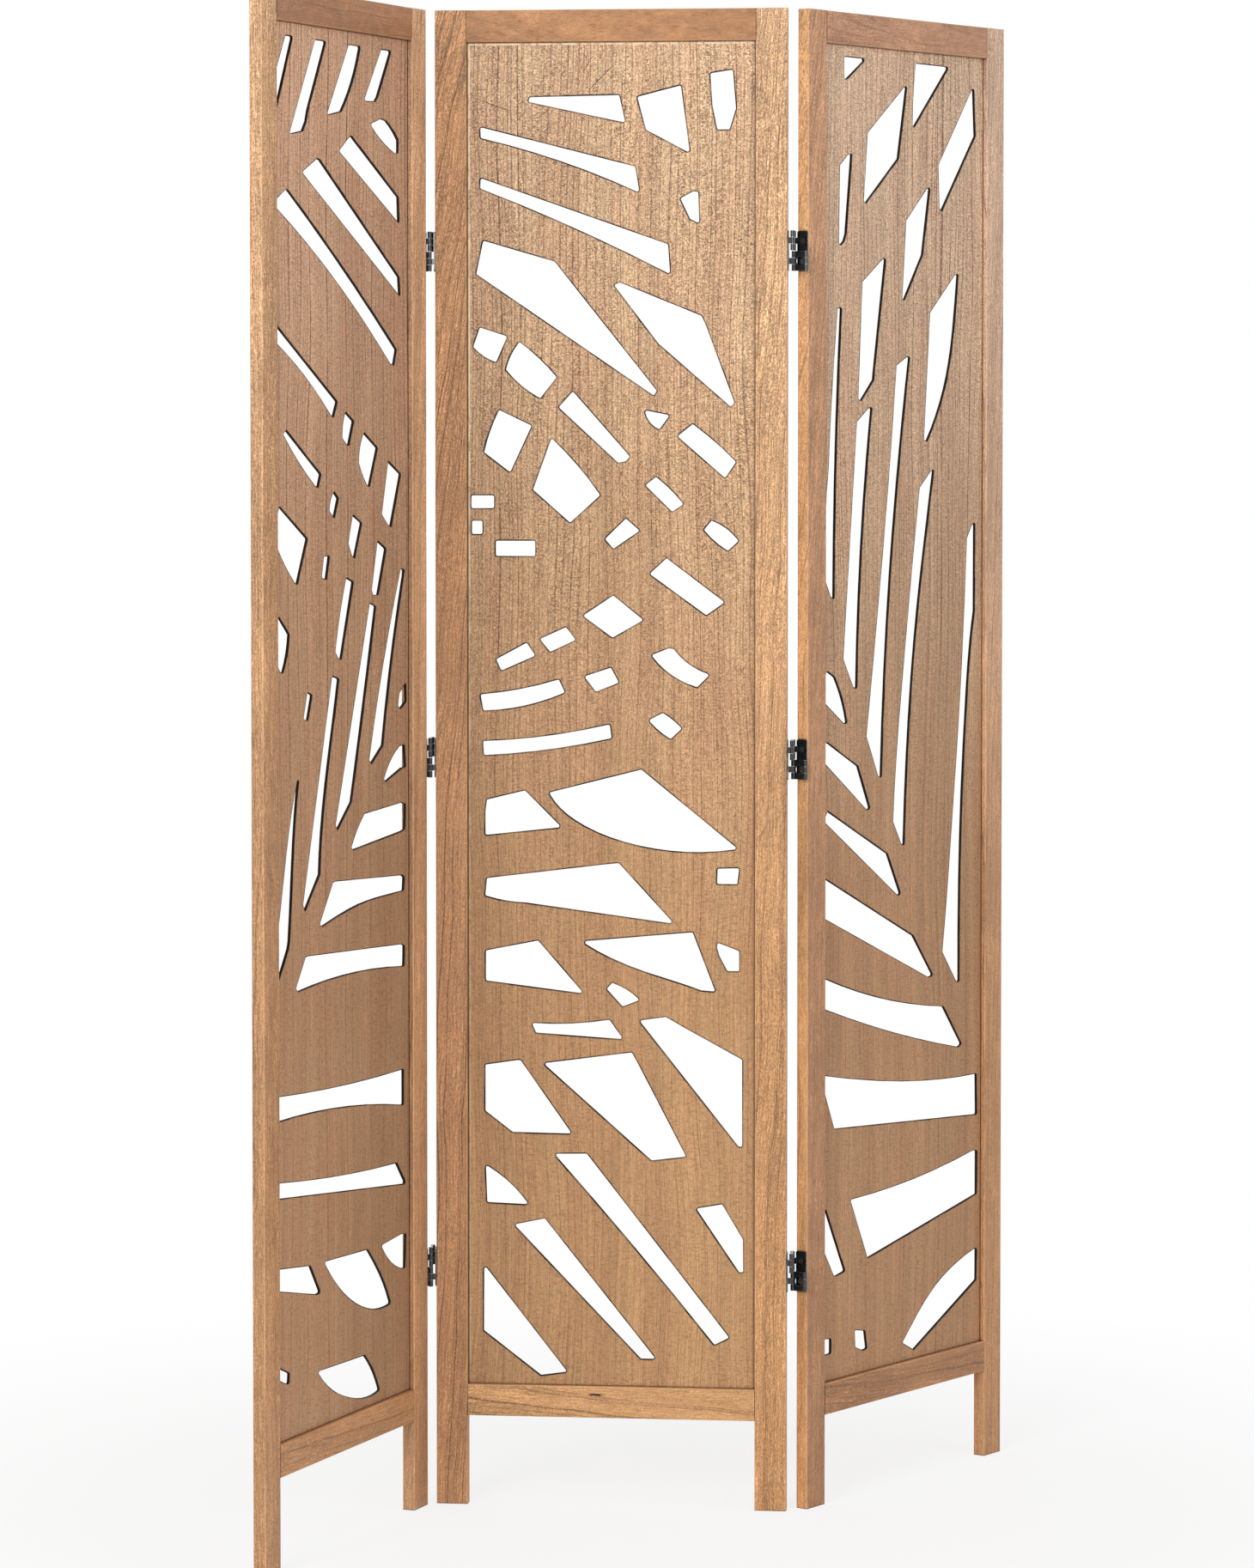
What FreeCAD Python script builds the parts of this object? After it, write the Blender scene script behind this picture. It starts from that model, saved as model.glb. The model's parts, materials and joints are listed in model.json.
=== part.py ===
import FreeCAD, Part
import math
import os

# Every length is in millimetres, +Z is up and the centre panel faces -Y.
# One panel is drawn flat, lower left front corner at zero, then swung to its place.

# Frame of one panel
panel_width = 400.0
panel_height = 1700.0
frame_thickness = 15.0
stile_width = 36.0
rail_height = 36.0
foot_height = 102.0
edge_rounding = 1.5

# Pierced sheet and the groove that holds it
sheet_thickness = 3.0
groove_depth = 8.0
groove_clearance = 0.15
sheet_edge_clearance = 1.0
cutout_corner_radius = 2.0
smallest_rounded_turn = math.radians(14)

# Dowels of the corner joints
dowel_radius = 3.0
dowel_length = 40.0
dowel_chamfer = 0.8
dowel_clearance = 0.05
dowel_end_clearance = 1.0
dowel_first_height = 9.0
dowel_second_height = 21.0

# Two-way hinge between neighbouring panels
flat_gap = 12.0
pin_outstand = 1.0
hinge_height = 45.0
hinge_plate_thickness = 1.5
leaf_edge_margin = 0.5
leaf_corner_radius = 2.0
barrel_radius = 2.5
pin_radius = 1.3
pin_running_clearance = 0.05
pin_press_clearance = 0.02
pin_end_inset = 0.2
leaf_loop_height = 7.0
loop_side_clearance = 0.25
link_spacing = 0.5
notch_clearance = 0.5
access_hole_radius = 5.25
hinge_heights = (1428.0, 854.0, 272.0)

# Hinge screws
screw_shank_radius = 1.4
screw_shank_length = 14.0
screw_tip_length = 2.5
screw_head_radius = 2.9
screw_clearance = 0.05
pilot_end_clearance = 0.5
countersink_clearance = 0.1
cross_recess_width = 0.8
cross_recess_length = 2.8
cross_recess_depth = 0.8

# How far each side panel stands folded out of the flat position
left_fold_angle = 72.6
right_fold_angle = 58.5

# Cuts run past the faces they open by this much
overrun = 1.0

opening_width = panel_width - 2 * stile_width
opening_bottom = foot_height + rail_height
opening_height = panel_height - rail_height - opening_bottom
sheet_front = (frame_thickness - sheet_thickness) / 2
half_gap = flat_gap / 2
front_pin = -pin_outstand
back_pin = frame_thickness + pin_outstand
link_bottom = link_spacing / 2
link_height = hinge_height / 2 - link_bottom
link_middle = link_bottom + link_height / 2

up = FreeCAD.Vector(0, 0, 1)
along = FreeCAD.Vector(1, 0, 0)
inward = FreeCAD.Vector(0, 1, 0)


def bow(*points):
    # Marks the points a curved side passes through between its two corners.
    return list(points)


# Outlines of the cut-outs: each point is a share of the opening's width and of its height.
centre_outline_shares = (
    ((0.217, 0.9594), (0.528, 0.9606), (0.549, 0.9402), (0.212, 0.9560)),
    ((0.590, 0.9592), (0.741, 0.9675), (0.772, 0.9176), (0.620, 0.9350)),
    ((0.842, 0.9762), (0.920, 0.9788), (0.931, 0.9502), (0.909, 0.9348), (0.866, 0.9348), (0.849, 0.9530)),
    ((0.045, 0.9375), (0.583, 0.9078), (0.598, 0.8885), bow((0.330, 0.9118)), (0.047, 0.9295)),
    ((0.046, 0.8998), (0.697, 0.8503), (0.704, 0.8283), bow((0.385, 0.8615)), (0.045, 0.8922)),
    ((0.055, 0.8535), (0.304, 0.8378), (0.658, 0.7422), (0.648, 0.7385), (0.031, 0.8288)),
    ((0.509, 0.8205), (0.530, 0.8222), (0.812, 0.7975), (0.824, 0.7925), (0.926, 0.7335),
     (0.914, 0.7302), (0.663, 0.7772)),
    ((0.739, 0.8842), (0.783, 0.8893), (0.801, 0.8890), (0.805, 0.8655), (0.772, 0.8692)),
    ((0.043, 0.7892), (0.139, 0.7825), (0.100, 0.7633), bow((0.056, 0.7680)), (0.020, 0.7748)),
    ((0.181, 0.7784), bow((0.258, 0.7645)), (0.311, 0.7522), (0.254, 0.7366), bow((0.185, 0.7466)),
     (0.134, 0.7580), bow((0.152, 0.7688))),
    ((0.110, 0.7280), (0.224, 0.7163), (0.149, 0.6816), (0.058, 0.6965), bow((0.077, 0.7112))),
    ((0.367, 0.7418), (0.565, 0.6935), (0.552, 0.6902), (0.524, 0.6888), (0.317, 0.7300)),
    ((0.292, 0.7072), bow((0.395, 0.6838)), (0.462, 0.6648), (0.357, 0.6443), (0.228, 0.6688)),
    ((0.013, 0.6645), (0.093, 0.6645), (0.093, 0.6550), (0.013, 0.6550)),
    ((0.015, 0.6456), (0.052, 0.6456), (0.052, 0.6358), (0.015, 0.6358)),
    ((0.098, 0.6308), (0.236, 0.6308), (0.236, 0.6195), (0.098, 0.6195)),
    ((0.616, 0.7277), (0.703, 0.7241), (0.667, 0.7136), bow((0.633, 0.7192))),
    ((0.782, 0.7176), bow((0.860, 0.7042)), (0.932, 0.6895), (0.894, 0.6776), (0.729, 0.7085)),
    ((0.655, 0.6784), bow((0.706, 0.6690)), (0.750, 0.6582), (0.711, 0.6526), (0.618, 0.6722)),
    ((0.551, 0.6476), (0.599, 0.6385), (0.507, 0.6250), (0.478, 0.6323)),
    ((0.847, 0.6462), bow((0.897, 0.6405)), (0.941, 0.6312), (0.904, 0.6238), bow((0.862, 0.6302)),
     (0.821, 0.6392)),
    ((0.692, 0.6182), (0.893, 0.5857), (0.829, 0.5760), (0.633, 0.6065)),
    ((0.507, 0.5904), (0.612, 0.5723), (0.504, 0.5590), (0.401, 0.5752)),
    ((0.343, 0.5667), (0.377, 0.5573), (0.287, 0.5483), (0.251, 0.5577)),
    ((0.206, 0.5550), (0.236, 0.5455), (0.117, 0.5341), (0.099, 0.5425)),
    ((0.499, 0.5368), (0.527, 0.5257), (0.446, 0.5188), (0.406, 0.5300)),
    ((0.639, 0.5462), (0.700, 0.5513), (0.717, 0.5508), bow((0.752, 0.5426)), (0.842, 0.5320),
     (0.798, 0.5226), bow((0.706, 0.5320))),
    ((0.679, 0.5033), bow((0.716, 0.4978)), (0.745, 0.4918), (0.706, 0.4840), bow((0.664, 0.4903)),
     (0.630, 0.4978)),
    ((0.044, 0.5163), bow((0.185, 0.5205)), (0.318, 0.5278), (0.339, 0.5182), bow((0.190, 0.5078)),
     (0.054, 0.5043)),
    ((0.053, 0.4815), bow((0.265, 0.4853)), (0.495, 0.4946), (0.501, 0.4843), bow((0.270, 0.4753)),
     (0.056, 0.4710)),
    ((0.066, 0.4378), (0.200, 0.4449), (0.327, 0.4177), (0.061, 0.4114), (0.061, 0.4290)),
    ((0.283, 0.4434), (0.605, 0.4611), (0.940, 0.4026),
     bow((0.812, 0.4000), (0.600, 0.4043), (0.400, 0.4198), (0.325, 0.4315))),
    ((0.869, 0.3878), (0.944, 0.3884), (0.937, 0.3764), (0.867, 0.3764)),
    ((0.066, 0.3792), (0.500, 0.3908), (0.527, 0.3912), (0.719, 0.3464), (0.200, 0.3612),
     bow((0.125, 0.3628)), (0.060, 0.3662)),
    ((0.869, 0.3328), (0.944, 0.3267), (0.944, 0.3116), (0.903, 0.3116), (0.876, 0.3225), (0.867, 0.3290)),
    ((0.062, 0.3250), (0.245, 0.3329), (0.405, 0.2936), (0.062, 0.3025)),
    ((0.397, 0.3326), (0.783, 0.3403), (0.862, 0.2962), (0.812, 0.2970),
     bow((0.747, 0.3018), (0.600, 0.3117), (0.500, 0.3203))),
    ((0.503, 0.3019), bow((0.552, 0.2972)), (0.599, 0.2893), (0.539, 0.2843), (0.484, 0.2972)),
    ((0.222, 0.2712), bow((0.370, 0.2712)), (0.494, 0.2743), (0.542, 0.2598), (0.237, 0.2639)),
    ((0.060, 0.2395), (0.172, 0.2432), (0.184, 0.2431), (0.363, 0.1886), (0.155, 0.1892), (0.060, 0.2048)),
    ((0.262, 0.2411), (0.572, 0.2501), (0.600, 0.2390), (0.761, 0.1727), (0.640, 0.1694)),
    ((0.597, 0.2740), (0.690, 0.2769), (0.755, 0.2690), (0.955, 0.2458), (0.955, 0.1806), (0.942, 0.1808)),
    ((0.061, 0.1644), bow((0.143, 0.1518)), (0.212, 0.1351), (0.066, 0.1362)),
    ((0.300, 0.1734), (0.415, 0.1739), (0.911, 0.0378), (0.859, 0.0321), bow((0.585, 0.1033))),
    ((0.795, 0.1341), (0.886, 0.1376), (0.958, 0.1116), (0.959, 0.0866), (0.944, 0.0870)),
    ((0.160, 0.1198), (0.268, 0.1248), (0.656, 0.0207), (0.603, 0.0207)),
    ((0.055, 0.0895), (0.347, 0.0098), (0.254, 0.0070), (0.054, 0.0398)),
)
left_outline_shares = (
    ((0.094, 0.9902), (0.146, 0.9902), (0.022, 0.9345), (0.022, 0.9635)),
    ((0.306, 0.9902), (0.387, 0.9902), (0.256, 0.9400), (0.243, 0.9320), (0.217, 0.9250), (0.120, 0.9217)),
    ((0.553, 0.9902), (0.641, 0.9902), bow((0.577, 0.9625)), (0.499, 0.9420), (0.390, 0.9380)),
    ((0.798, 0.9902), (0.876, 0.9902), (0.772, 0.9555), (0.755, 0.9522), (0.667, 0.9515)),
    ((0.714, 0.9352), (0.797, 0.9399), (0.838, 0.9389), bow((0.888, 0.9328)), (0.929, 0.9258),
     (0.929, 0.9164), (0.902, 0.9160), bow((0.795, 0.9248))),
    ((0.479, 0.9135), (0.562, 0.9248), (0.580, 0.9244), (0.930, 0.8840), (0.935, 0.8648)),
    ((0.210, 0.8958), (0.319, 0.9063), (0.342, 0.9056), (0.934, 0.8255), (0.942, 0.8112)),
    ((0.022, 0.8745), (0.093, 0.8826), (0.110, 0.8824), bow((0.560, 0.8232)), (0.913, 0.7722),
     (0.893, 0.7605), (0.862, 0.7622), bow((0.500, 0.8146)), (0.022, 0.8698)),
    ((0.022, 0.7880), (0.464, 0.7339), (0.436, 0.7228), (0.416, 0.7243), bow((0.200, 0.7555)),
     (0.022, 0.7752)),
    ((0.070, 0.7112), (0.094, 0.7139), (0.343, 0.6822), (0.322, 0.6726), (0.297, 0.6745),
     bow((0.170, 0.6932))),
    ((0.044, 0.6606), (0.244, 0.6367), (0.171, 0.6048), (0.152, 0.6061), bow((0.082, 0.6188)),
     (0.030, 0.6310), bow((0.020, 0.6470))),
    ((0.524, 0.7267), (0.586, 0.7198), (0.550, 0.7023), (0.528, 0.7038), (0.500, 0.7080),
     bow((0.506, 0.7185))),
    ((0.663, 0.7116), (0.766, 0.7003), (0.704, 0.6720), (0.685, 0.6735), bow((0.650, 0.6812)),
     (0.624, 0.6895), bow((0.634, 0.7020))),
    ((0.847, 0.6906), (0.945, 0.6808), (0.869, 0.6423), (0.845, 0.6440), (0.797, 0.6518)),
    ((0.437, 0.6696), (0.471, 0.6646), (0.440, 0.6503), (0.403, 0.6560), bow((0.415, 0.6640))),
    ((0.577, 0.6524), (0.646, 0.6462), (0.591, 0.6206), (0.570, 0.6230), (0.543, 0.6320)),
    ((0.764, 0.6328), (0.830, 0.6263), (0.769, 0.5930), (0.728, 0.5935), (0.719, 0.5972)),
    ((0.362, 0.6233), (0.405, 0.6239), (0.383, 0.6071), (0.346, 0.6084)),
    ((0.527, 0.6072), (0.581, 0.6038), (0.490, 0.5486), (0.466, 0.5500), (0.445, 0.5545),
     bow((0.478, 0.5800))),
    ((0.943, 0.6113), (0.973, 0.6099), bow((0.868, 0.5400)), (0.803, 0.4828), (0.714, 0.4701),
     (0.697, 0.4732), bow((0.828, 0.5542))),
    ((0.022, 0.5822), (0.040, 0.5829), (0.112, 0.5700), bow((0.096, 0.5555)), (0.067, 0.5433),
     (0.045, 0.5443), (0.022, 0.5500)),
    ((0.240, 0.5277), (0.275, 0.5254), (0.244, 0.5076), (0.211, 0.5090)),
    ((0.421, 0.5373), (0.472, 0.5348), bow((0.424, 0.4968), (0.371, 0.4550), (0.341, 0.4225)),
     (0.328, 0.3965), (0.219, 0.3720), (0.205, 0.3772)),
    ((0.704, 0.5877), (0.751, 0.5850), bow((0.641, 0.5002)), (0.564, 0.4448), (0.459, 0.4261),
     (0.444, 0.4297)),
    ((0.190, 0.4765), bow((0.160, 0.4485), (0.134, 0.4060)), (0.108, 0.3530), (0.100, 0.3480),
     (0.030, 0.3266), (0.022, 0.3330), (0.022, 0.3590), bow((0.075, 0.4050), (0.125, 0.4440))),
    ((0.930, 0.5193), (0.981, 0.5269), (0.984, 0.5130), (0.940, 0.5078), (0.920, 0.5100)),
    ((0.808, 0.4573), bow((0.870, 0.4722)), (0.932, 0.4803), (0.969, 0.4807), (0.979, 0.4643),
     (0.950, 0.4641), (0.825, 0.4557)),
    ((0.560, 0.4116), bow((0.608, 0.4243)), (0.660, 0.4345), (0.945, 0.4383), (0.977, 0.4369),
     (0.973, 0.4183), (0.945, 0.4172), (0.575, 0.4099)),
    ((0.325, 0.3606), (0.423, 0.3887), (0.440, 0.3893), (0.950, 0.3845), (0.967, 0.3827),
     (0.962, 0.3730), bow((0.794, 0.3720), (0.620, 0.3695), (0.480, 0.3648)), (0.345, 0.3589)),
    ((0.151, 0.3184), (0.222, 0.3394), (0.238, 0.3398), (0.948, 0.3334), (0.969, 0.3319),
     (0.964, 0.3169), bow((0.580, 0.3207)), (0.170, 0.3163)),
    ((0.022, 0.2450), bow((0.500, 0.2405)), (0.958, 0.2404), (0.958, 0.2140), bow((0.560, 0.2242)),
     (0.022, 0.2276)),
    ((0.022, 0.1841), bow((0.480, 0.1757)), (0.905, 0.1721), (0.977, 0.1547), (0.022, 0.1731)),
    ((0.022, 0.1230), (0.252, 0.1180), (0.326, 0.0963), (0.298, 0.0961), (0.022, 0.1078)),
    ((0.352, 0.1174), (0.680, 0.1154), bow((0.748, 0.1012), (0.806, 0.0868)), (0.855, 0.0698),
     bow((0.763, 0.0692), (0.643, 0.0748), (0.494, 0.0906))),
    ((0.783, 0.1150), (0.938, 0.1183), (0.976, 0.1172), (0.967, 0.0920), (0.943, 0.0929),
     bow((0.856, 0.1006))),
    ((0.022, 0.0533), (0.099, 0.0467), (0.095, 0.0395), (0.070, 0.0407), (0.022, 0.0448)),
    ((0.302, 0.0401), (0.654, 0.0386), bow((0.713, 0.0266)), (0.768, 0.0088),
     bow((0.680, 0.0071), (0.560, 0.0112), (0.430, 0.0208))),
)
right_outline_shares = (
    ((0.128, 0.9912), (0.263, 0.9910), (0.148, 0.9751), (0.128, 0.9746)),
    ((0.568, 0.9912), (0.779, 0.9908), (0.560, 0.9428), (0.549, 0.9438), bow((0.555, 0.9700))),
    ((0.272, 0.9358), (0.497, 0.9725), (0.514, 0.9730), (0.462, 0.9180), (0.263, 0.8831), (0.248, 0.8843)),
    ((0.713, 0.9152), (0.926, 0.9750), (0.940, 0.9754), (0.950, 0.9395), (0.735, 0.8801), (0.720, 0.8825)),
    ((0.104, 0.9102), (0.152, 0.9183), (0.177, 0.9194), (0.142, 0.8590), (0.130, 0.8540),
     (0.112, 0.8511), (0.098, 0.8518)),
    ((0.511, 0.8715), (0.642, 0.8969), (0.661, 0.8974), (0.615, 0.8460), (0.500, 0.8110), (0.487, 0.8123)),
    ((0.241, 0.8240), (0.366, 0.8417), (0.385, 0.8420), (0.311, 0.7505), (0.236, 0.7349), (0.217, 0.7360)),
    ((0.091, 0.8037), (0.116, 0.8041), bow((0.088, 0.7100)), (0.073, 0.5863), (0.052, 0.5890),
     (0.018, 0.6015), bow((0.019, 0.6450)), (0.038, 0.6840), bow((0.062, 0.7480))),
    ((0.209, 0.7190), (0.279, 0.7291), (0.302, 0.7296), bow((0.247, 0.6400)), (0.212, 0.5188),
     (0.190, 0.5199), (0.129, 0.5415)),
    ((0.452, 0.7616), (0.515, 0.7679), (0.536, 0.7682), bow((0.488, 0.7100), (0.430, 0.6250),
     (0.386, 0.5320)), (0.364, 0.4493), (0.343, 0.4514), (0.271, 0.4820), bow((0.331, 0.5640),
     (0.393, 0.6550))),
    ((0.662, 0.8022), (0.820, 0.8317), (0.842, 0.8324), bow((0.815, 0.7895), (0.785, 0.7610),
     (0.715, 0.7260)), (0.646, 0.7041), (0.625, 0.7048)),
    ((0.599, 0.6686), (0.668, 0.6807), (0.690, 0.6827), bow((0.654, 0.6450), (0.592, 0.5780),
     (0.542, 0.5000)), (0.507, 0.3960), (0.487, 0.3977), (0.437, 0.4150), bow((0.462, 0.4740),
     (0.505, 0.5400), (0.549, 0.6030))),
    ((0.902, 0.6286), (0.933, 0.6385), (0.954, 0.6408), (0.953, 0.5720), bow((0.926, 0.5420),
     (0.903, 0.5000), (0.876, 0.4300), (0.862, 0.3600)), (0.860, 0.2848), (0.838, 0.2859),
     (0.750, 0.3100), bow((0.786, 0.3650), (0.812, 0.4120), (0.853, 0.4900), (0.885, 0.5700))),
    ((0.023, 0.5318), (0.036, 0.5329), (0.078, 0.5283), bow((0.118, 0.5140)), (0.153, 0.4933),
     (0.132, 0.4934), (0.023, 0.5090)),
    ((0.021, 0.4796), (0.036, 0.4797), (0.220, 0.4600), (0.295, 0.4270), (0.272, 0.4267), (0.021, 0.4643)),
    ((0.020, 0.4236), (0.036, 0.4286), (0.403, 0.3912), (0.486, 0.3590), (0.464, 0.3589), (0.019, 0.4206)),
    ((0.018, 0.3786), (0.565, 0.3258), (0.692, 0.2930), (0.662, 0.2921), (0.018, 0.3485)),
    ((0.018, 0.3036), bow((0.380, 0.2810)), (0.758, 0.2674), (0.877, 0.2358), (0.855, 0.2341),
     bow((0.440, 0.2544)), (0.018, 0.2808)),
    ((0.018, 0.2305), bow((0.200, 0.2238), (0.500, 0.2153)), (0.973, 0.2105), (0.976, 0.1787),
     (0.079, 0.1893), (0.018, 0.2190)),
    ((0.177, 0.1332), bow((0.580, 0.1388)), (0.952, 0.1509), (0.978, 0.1500), (0.976, 0.1162),
     (0.284, 0.0859)),
    ((0.024, 0.1320), (0.146, 0.0803), (0.090, 0.0779), (0.076, 0.0792), (0.018, 0.0985), (0.018, 0.1270)),
    ((0.018, 0.0323), (0.060, 0.0316), (0.060, 0.0206), (0.018, 0.0201)),
    ((0.205, 0.0335), (0.269, 0.0309), (0.281, 0.0173), (0.256, 0.0167), (0.209, 0.0204)),
    ((0.501, 0.0144), bow((0.598, 0.0338), (0.698, 0.0505), (0.798, 0.0618)), (0.964, 0.0736),
     (0.978, 0.0728), (0.975, 0.0488), (0.574, 0.0067)),
)


def box(x_start, x_end, y_start, y_end, z_start, z_end):
    corner = FreeCAD.Vector(x_start, y_start, z_start)
    return Part.makeBox(x_end - x_start, y_end - y_start, z_end - z_start, corner)


def rounded_bar(shape, direction, radius):
    # Rounds the edges of a bar that run along one direction.
    chosen = []
    for edge in shape.Edges:
        run = edge.Vertexes[-1].Point - edge.Vertexes[0].Point
        if abs(run.normalize().dot(direction)) > math.cos(smallest_rounded_turn):
            chosen.append(edge)
    return shape.makeFillet(radius, chosen)


def sheet_point(share):
    x_place = stile_width + share[0] * opening_width
    z_place = opening_bottom + share[1] * opening_height
    return FreeCAD.Vector(x_place, sheet_front - overrun, z_place)


def outline_sides(entries):
    corners = []
    bends = []
    for entry in entries:
        if isinstance(entry, list):
            bends[-1] = [sheet_point(share) for share in entry]
        else:
            corners.append(sheet_point(entry))
            bends.append([])
    sides = []
    for number, start in enumerate(corners):
        end = corners[(number + 1) % len(corners)]
        through = bends[number]
        if len(through) > 1:
            curve = Part.BSplineCurve()
            curve.interpolate([start] + through + [end])
            sides.append(curve.toShape())
        elif through:
            sides.append(Part.Arc(start, through[0], end).toShape())
        else:
            sides.append(Part.LineSegment(start, end).toShape())
    return corners, sides


def cutout_cutter(entries):
    corners, sides = outline_sides(entries)
    turning = []
    for number, corner in enumerate(corners):
        arriving = sides[number - 1].tangentAt(sides[number - 1].LastParameter)
        leaving = sides[number].tangentAt(sides[number].FirstParameter)
        if arriving.getAngle(leaving) > smallest_rounded_turn:
            turning.append(corner)
    depth = sheet_thickness + 2 * overrun
    cutter = Part.Face(Part.Wire(sides)).extrude(inward * depth)
    chosen = []
    for edge in cutter.Edges:
        run = edge.Vertexes[-1].Point - edge.Vertexes[0].Point
        if abs(run.x) + abs(run.z) < overrun / 100 and abs(run.y) > depth / 2:
            foot = edge.Vertexes[0].Point
            nearest = min(math.hypot(foot.x - corner.x, foot.z - corner.z) for corner in turning)
            if nearest < overrun / 100:
                chosen.append(edge)
    return cutter.makeFillet(cutout_corner_radius, chosen)


def pierced_sheet(outlines):
    reach = groove_depth - sheet_edge_clearance
    bottom = opening_bottom - groove_depth
    top = opening_bottom + opening_height + reach
    back = sheet_front + sheet_thickness
    sheet = box(stile_width - reach, panel_width - stile_width + reach, sheet_front, back, bottom, top)
    return sheet.cut([cutout_cutter(entries) for entries in outlines])


def groove(x_start, x_end, z_start, z_end):
    front = sheet_front - groove_clearance
    back = sheet_front + sheet_thickness + groove_clearance
    return box(x_start, x_end, front, back, z_start, z_end)


def dowel_heights():
    bottom_start = foot_height
    top_start = panel_height
    return (
        bottom_start + dowel_first_height,
        bottom_start + dowel_second_height,
        top_start - dowel_first_height,
        top_start - dowel_second_height,
    )


def dowel_bores():
    bores = []
    for height in dowel_heights():
        for joint_x in (stile_width, panel_width - stile_width):
            reach = dowel_length / 2 + dowel_end_clearance
            start = FreeCAD.Vector(joint_x - reach, frame_thickness / 2, height)
            bores.append(Part.makeCylinder(dowel_radius + dowel_clearance, 2 * reach, start, along))
    return bores


def dowels():
    pieces = []
    for height in dowel_heights():
        for joint_x in (stile_width, panel_width - stile_width):
            start = FreeCAD.Vector(joint_x - dowel_length / 2, frame_thickness / 2, height)
            dowel = Part.makeCylinder(dowel_radius, dowel_length, start, along)
            rims = [edge for edge in dowel.Edges if edge.Closed]
            pieces.append(dowel.makeChamfer(dowel_chamfer, rims))
    return pieces


def pilot_bores(face_x, direction):
    # direction is -1 when the screws run towards -X from the face, +1 when they run towards +X.
    bores = []
    for hinge in hinge_heights:
        for half in (-1, 1):
            start = FreeCAD.Vector(face_x, frame_thickness / 2, hinge + half * link_middle)
            depth = screw_shank_length + screw_tip_length + pilot_end_clearance
            axis = along * direction
            start = start - axis * overrun
            radius = screw_shank_radius + screw_clearance
            bores.append(Part.makeCylinder(radius, depth + overrun, start, axis))
    return bores


def stile(left_side, hinged):
    start = 0 if left_side else panel_width - stile_width
    end = start + stile_width
    post = rounded_bar(box(start, end, 0, frame_thickness, 0, panel_height), up, edge_rounding)
    groove_start = end - groove_depth if left_side else start - overrun
    groove_end = end + overrun if left_side else start + groove_depth
    groove_top = opening_bottom + opening_height + groove_depth
    cuts = [groove(groove_start, groove_end, opening_bottom - groove_depth, groove_top)]
    cuts.extend(dowel_bores())
    if hinged:
        cuts.extend(pilot_bores(start if left_side else end, 1 if left_side else -1))
    return post.cut(cuts)


def rail(is_top):
    bottom = opening_bottom + opening_height if is_top else foot_height
    top = bottom + rail_height
    bar = box(stile_width, panel_width - stile_width, 0, frame_thickness, bottom, top)
    bar = rounded_bar(bar, along, edge_rounding)
    groove_bottom = bottom - overrun if is_top else top - groove_depth
    groove_top = bottom + groove_depth if is_top else top + overrun
    across = groove(stile_width - overrun, panel_width - stile_width + overrun, groove_bottom, groove_top)
    return bar.cut([across] + dowel_bores())


def loop(pin_y, middle):
    bottom = FreeCAD.Vector(0, pin_y, middle - leaf_loop_height / 2)
    return Part.makeCylinder(barrel_radius, leaf_loop_height, bottom, up)


def hinge_leaf():
    # The leaf on the left of a gap: its upper loop is on the front pin, its lower loop on the back pin.
    inner_face = -half_gap + hinge_plate_thickness
    half_height = hinge_height / 2
    plate = box(
        -half_gap, inner_face, leaf_edge_margin, frame_thickness - leaf_edge_margin, -half_height, half_height
    )
    plate = rounded_bar(plate, along, leaf_corner_radius)
    bridge_inner = front_pin + barrel_radius
    bridge_outer = bridge_inner - hinge_plate_thickness
    half_loop = leaf_loop_height / 2
    front_bridge = box(
        -half_gap, 0, bridge_outer, bridge_inner, link_middle - half_loop, link_middle + half_loop
    )
    back_bridge = box(
        -half_gap,
        0,
        frame_thickness - bridge_inner,
        frame_thickness - bridge_outer,
        -link_middle - half_loop,
        -link_middle + half_loop,
    )
    leaf = plate.fuse([front_bridge, back_bridge, loop(front_pin, link_middle), loop(back_pin, -link_middle)])
    cuts = []
    for pin_y in (front_pin, back_pin):
        start = FreeCAD.Vector(0, pin_y, -hinge_height)
        cuts.append(Part.makeCylinder(pin_radius + pin_running_clearance, 2 * hinge_height, start, up))
    for half in (-1, 1):
        mouth = FreeCAD.Vector(inner_face, frame_thickness / 2, half * link_middle)
        cuts.append(
            Part.makeCone(
                screw_head_radius + countersink_clearance,
                screw_shank_radius + countersink_clearance,
                hinge_plate_thickness,
                mouth,
                -along,
            )
        )
    return leaf.cut(cuts).removeSplitter()


def hinge_link():
    # The upper link: a plate in the middle of the gap with two loops on each pin.
    half_plate = hinge_plate_thickness / 2
    plate = box(-half_plate, half_plate, front_pin, back_pin, link_bottom, link_bottom + link_height)
    barrels = []
    cuts = []
    half_notch = leaf_loop_height / 2 + loop_side_clearance
    notch_reach = barrel_radius + notch_clearance
    for pin_y in (front_pin, back_pin):
        start = FreeCAD.Vector(0, pin_y, link_bottom)
        barrels.append(Part.makeCylinder(barrel_radius, link_height, start, up))
        start = FreeCAD.Vector(0, pin_y, 0)
        cuts.append(Part.makeCylinder(pin_radius + pin_press_clearance, hinge_height, start, up))
        cuts.append(
            box(
                -notch_reach,
                notch_reach,
                pin_y - notch_reach,
                pin_y + notch_reach,
                link_middle - half_notch,
                link_middle + half_notch,
            )
        )
    start = FreeCAD.Vector(-half_plate - overrun, frame_thickness / 2, link_middle)
    reach = hinge_plate_thickness + 2 * overrun
    cuts.append(Part.makeCylinder(access_hole_radius, reach, start, along))
    return plate.fuse(barrels).cut(cuts).removeSplitter()


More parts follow.
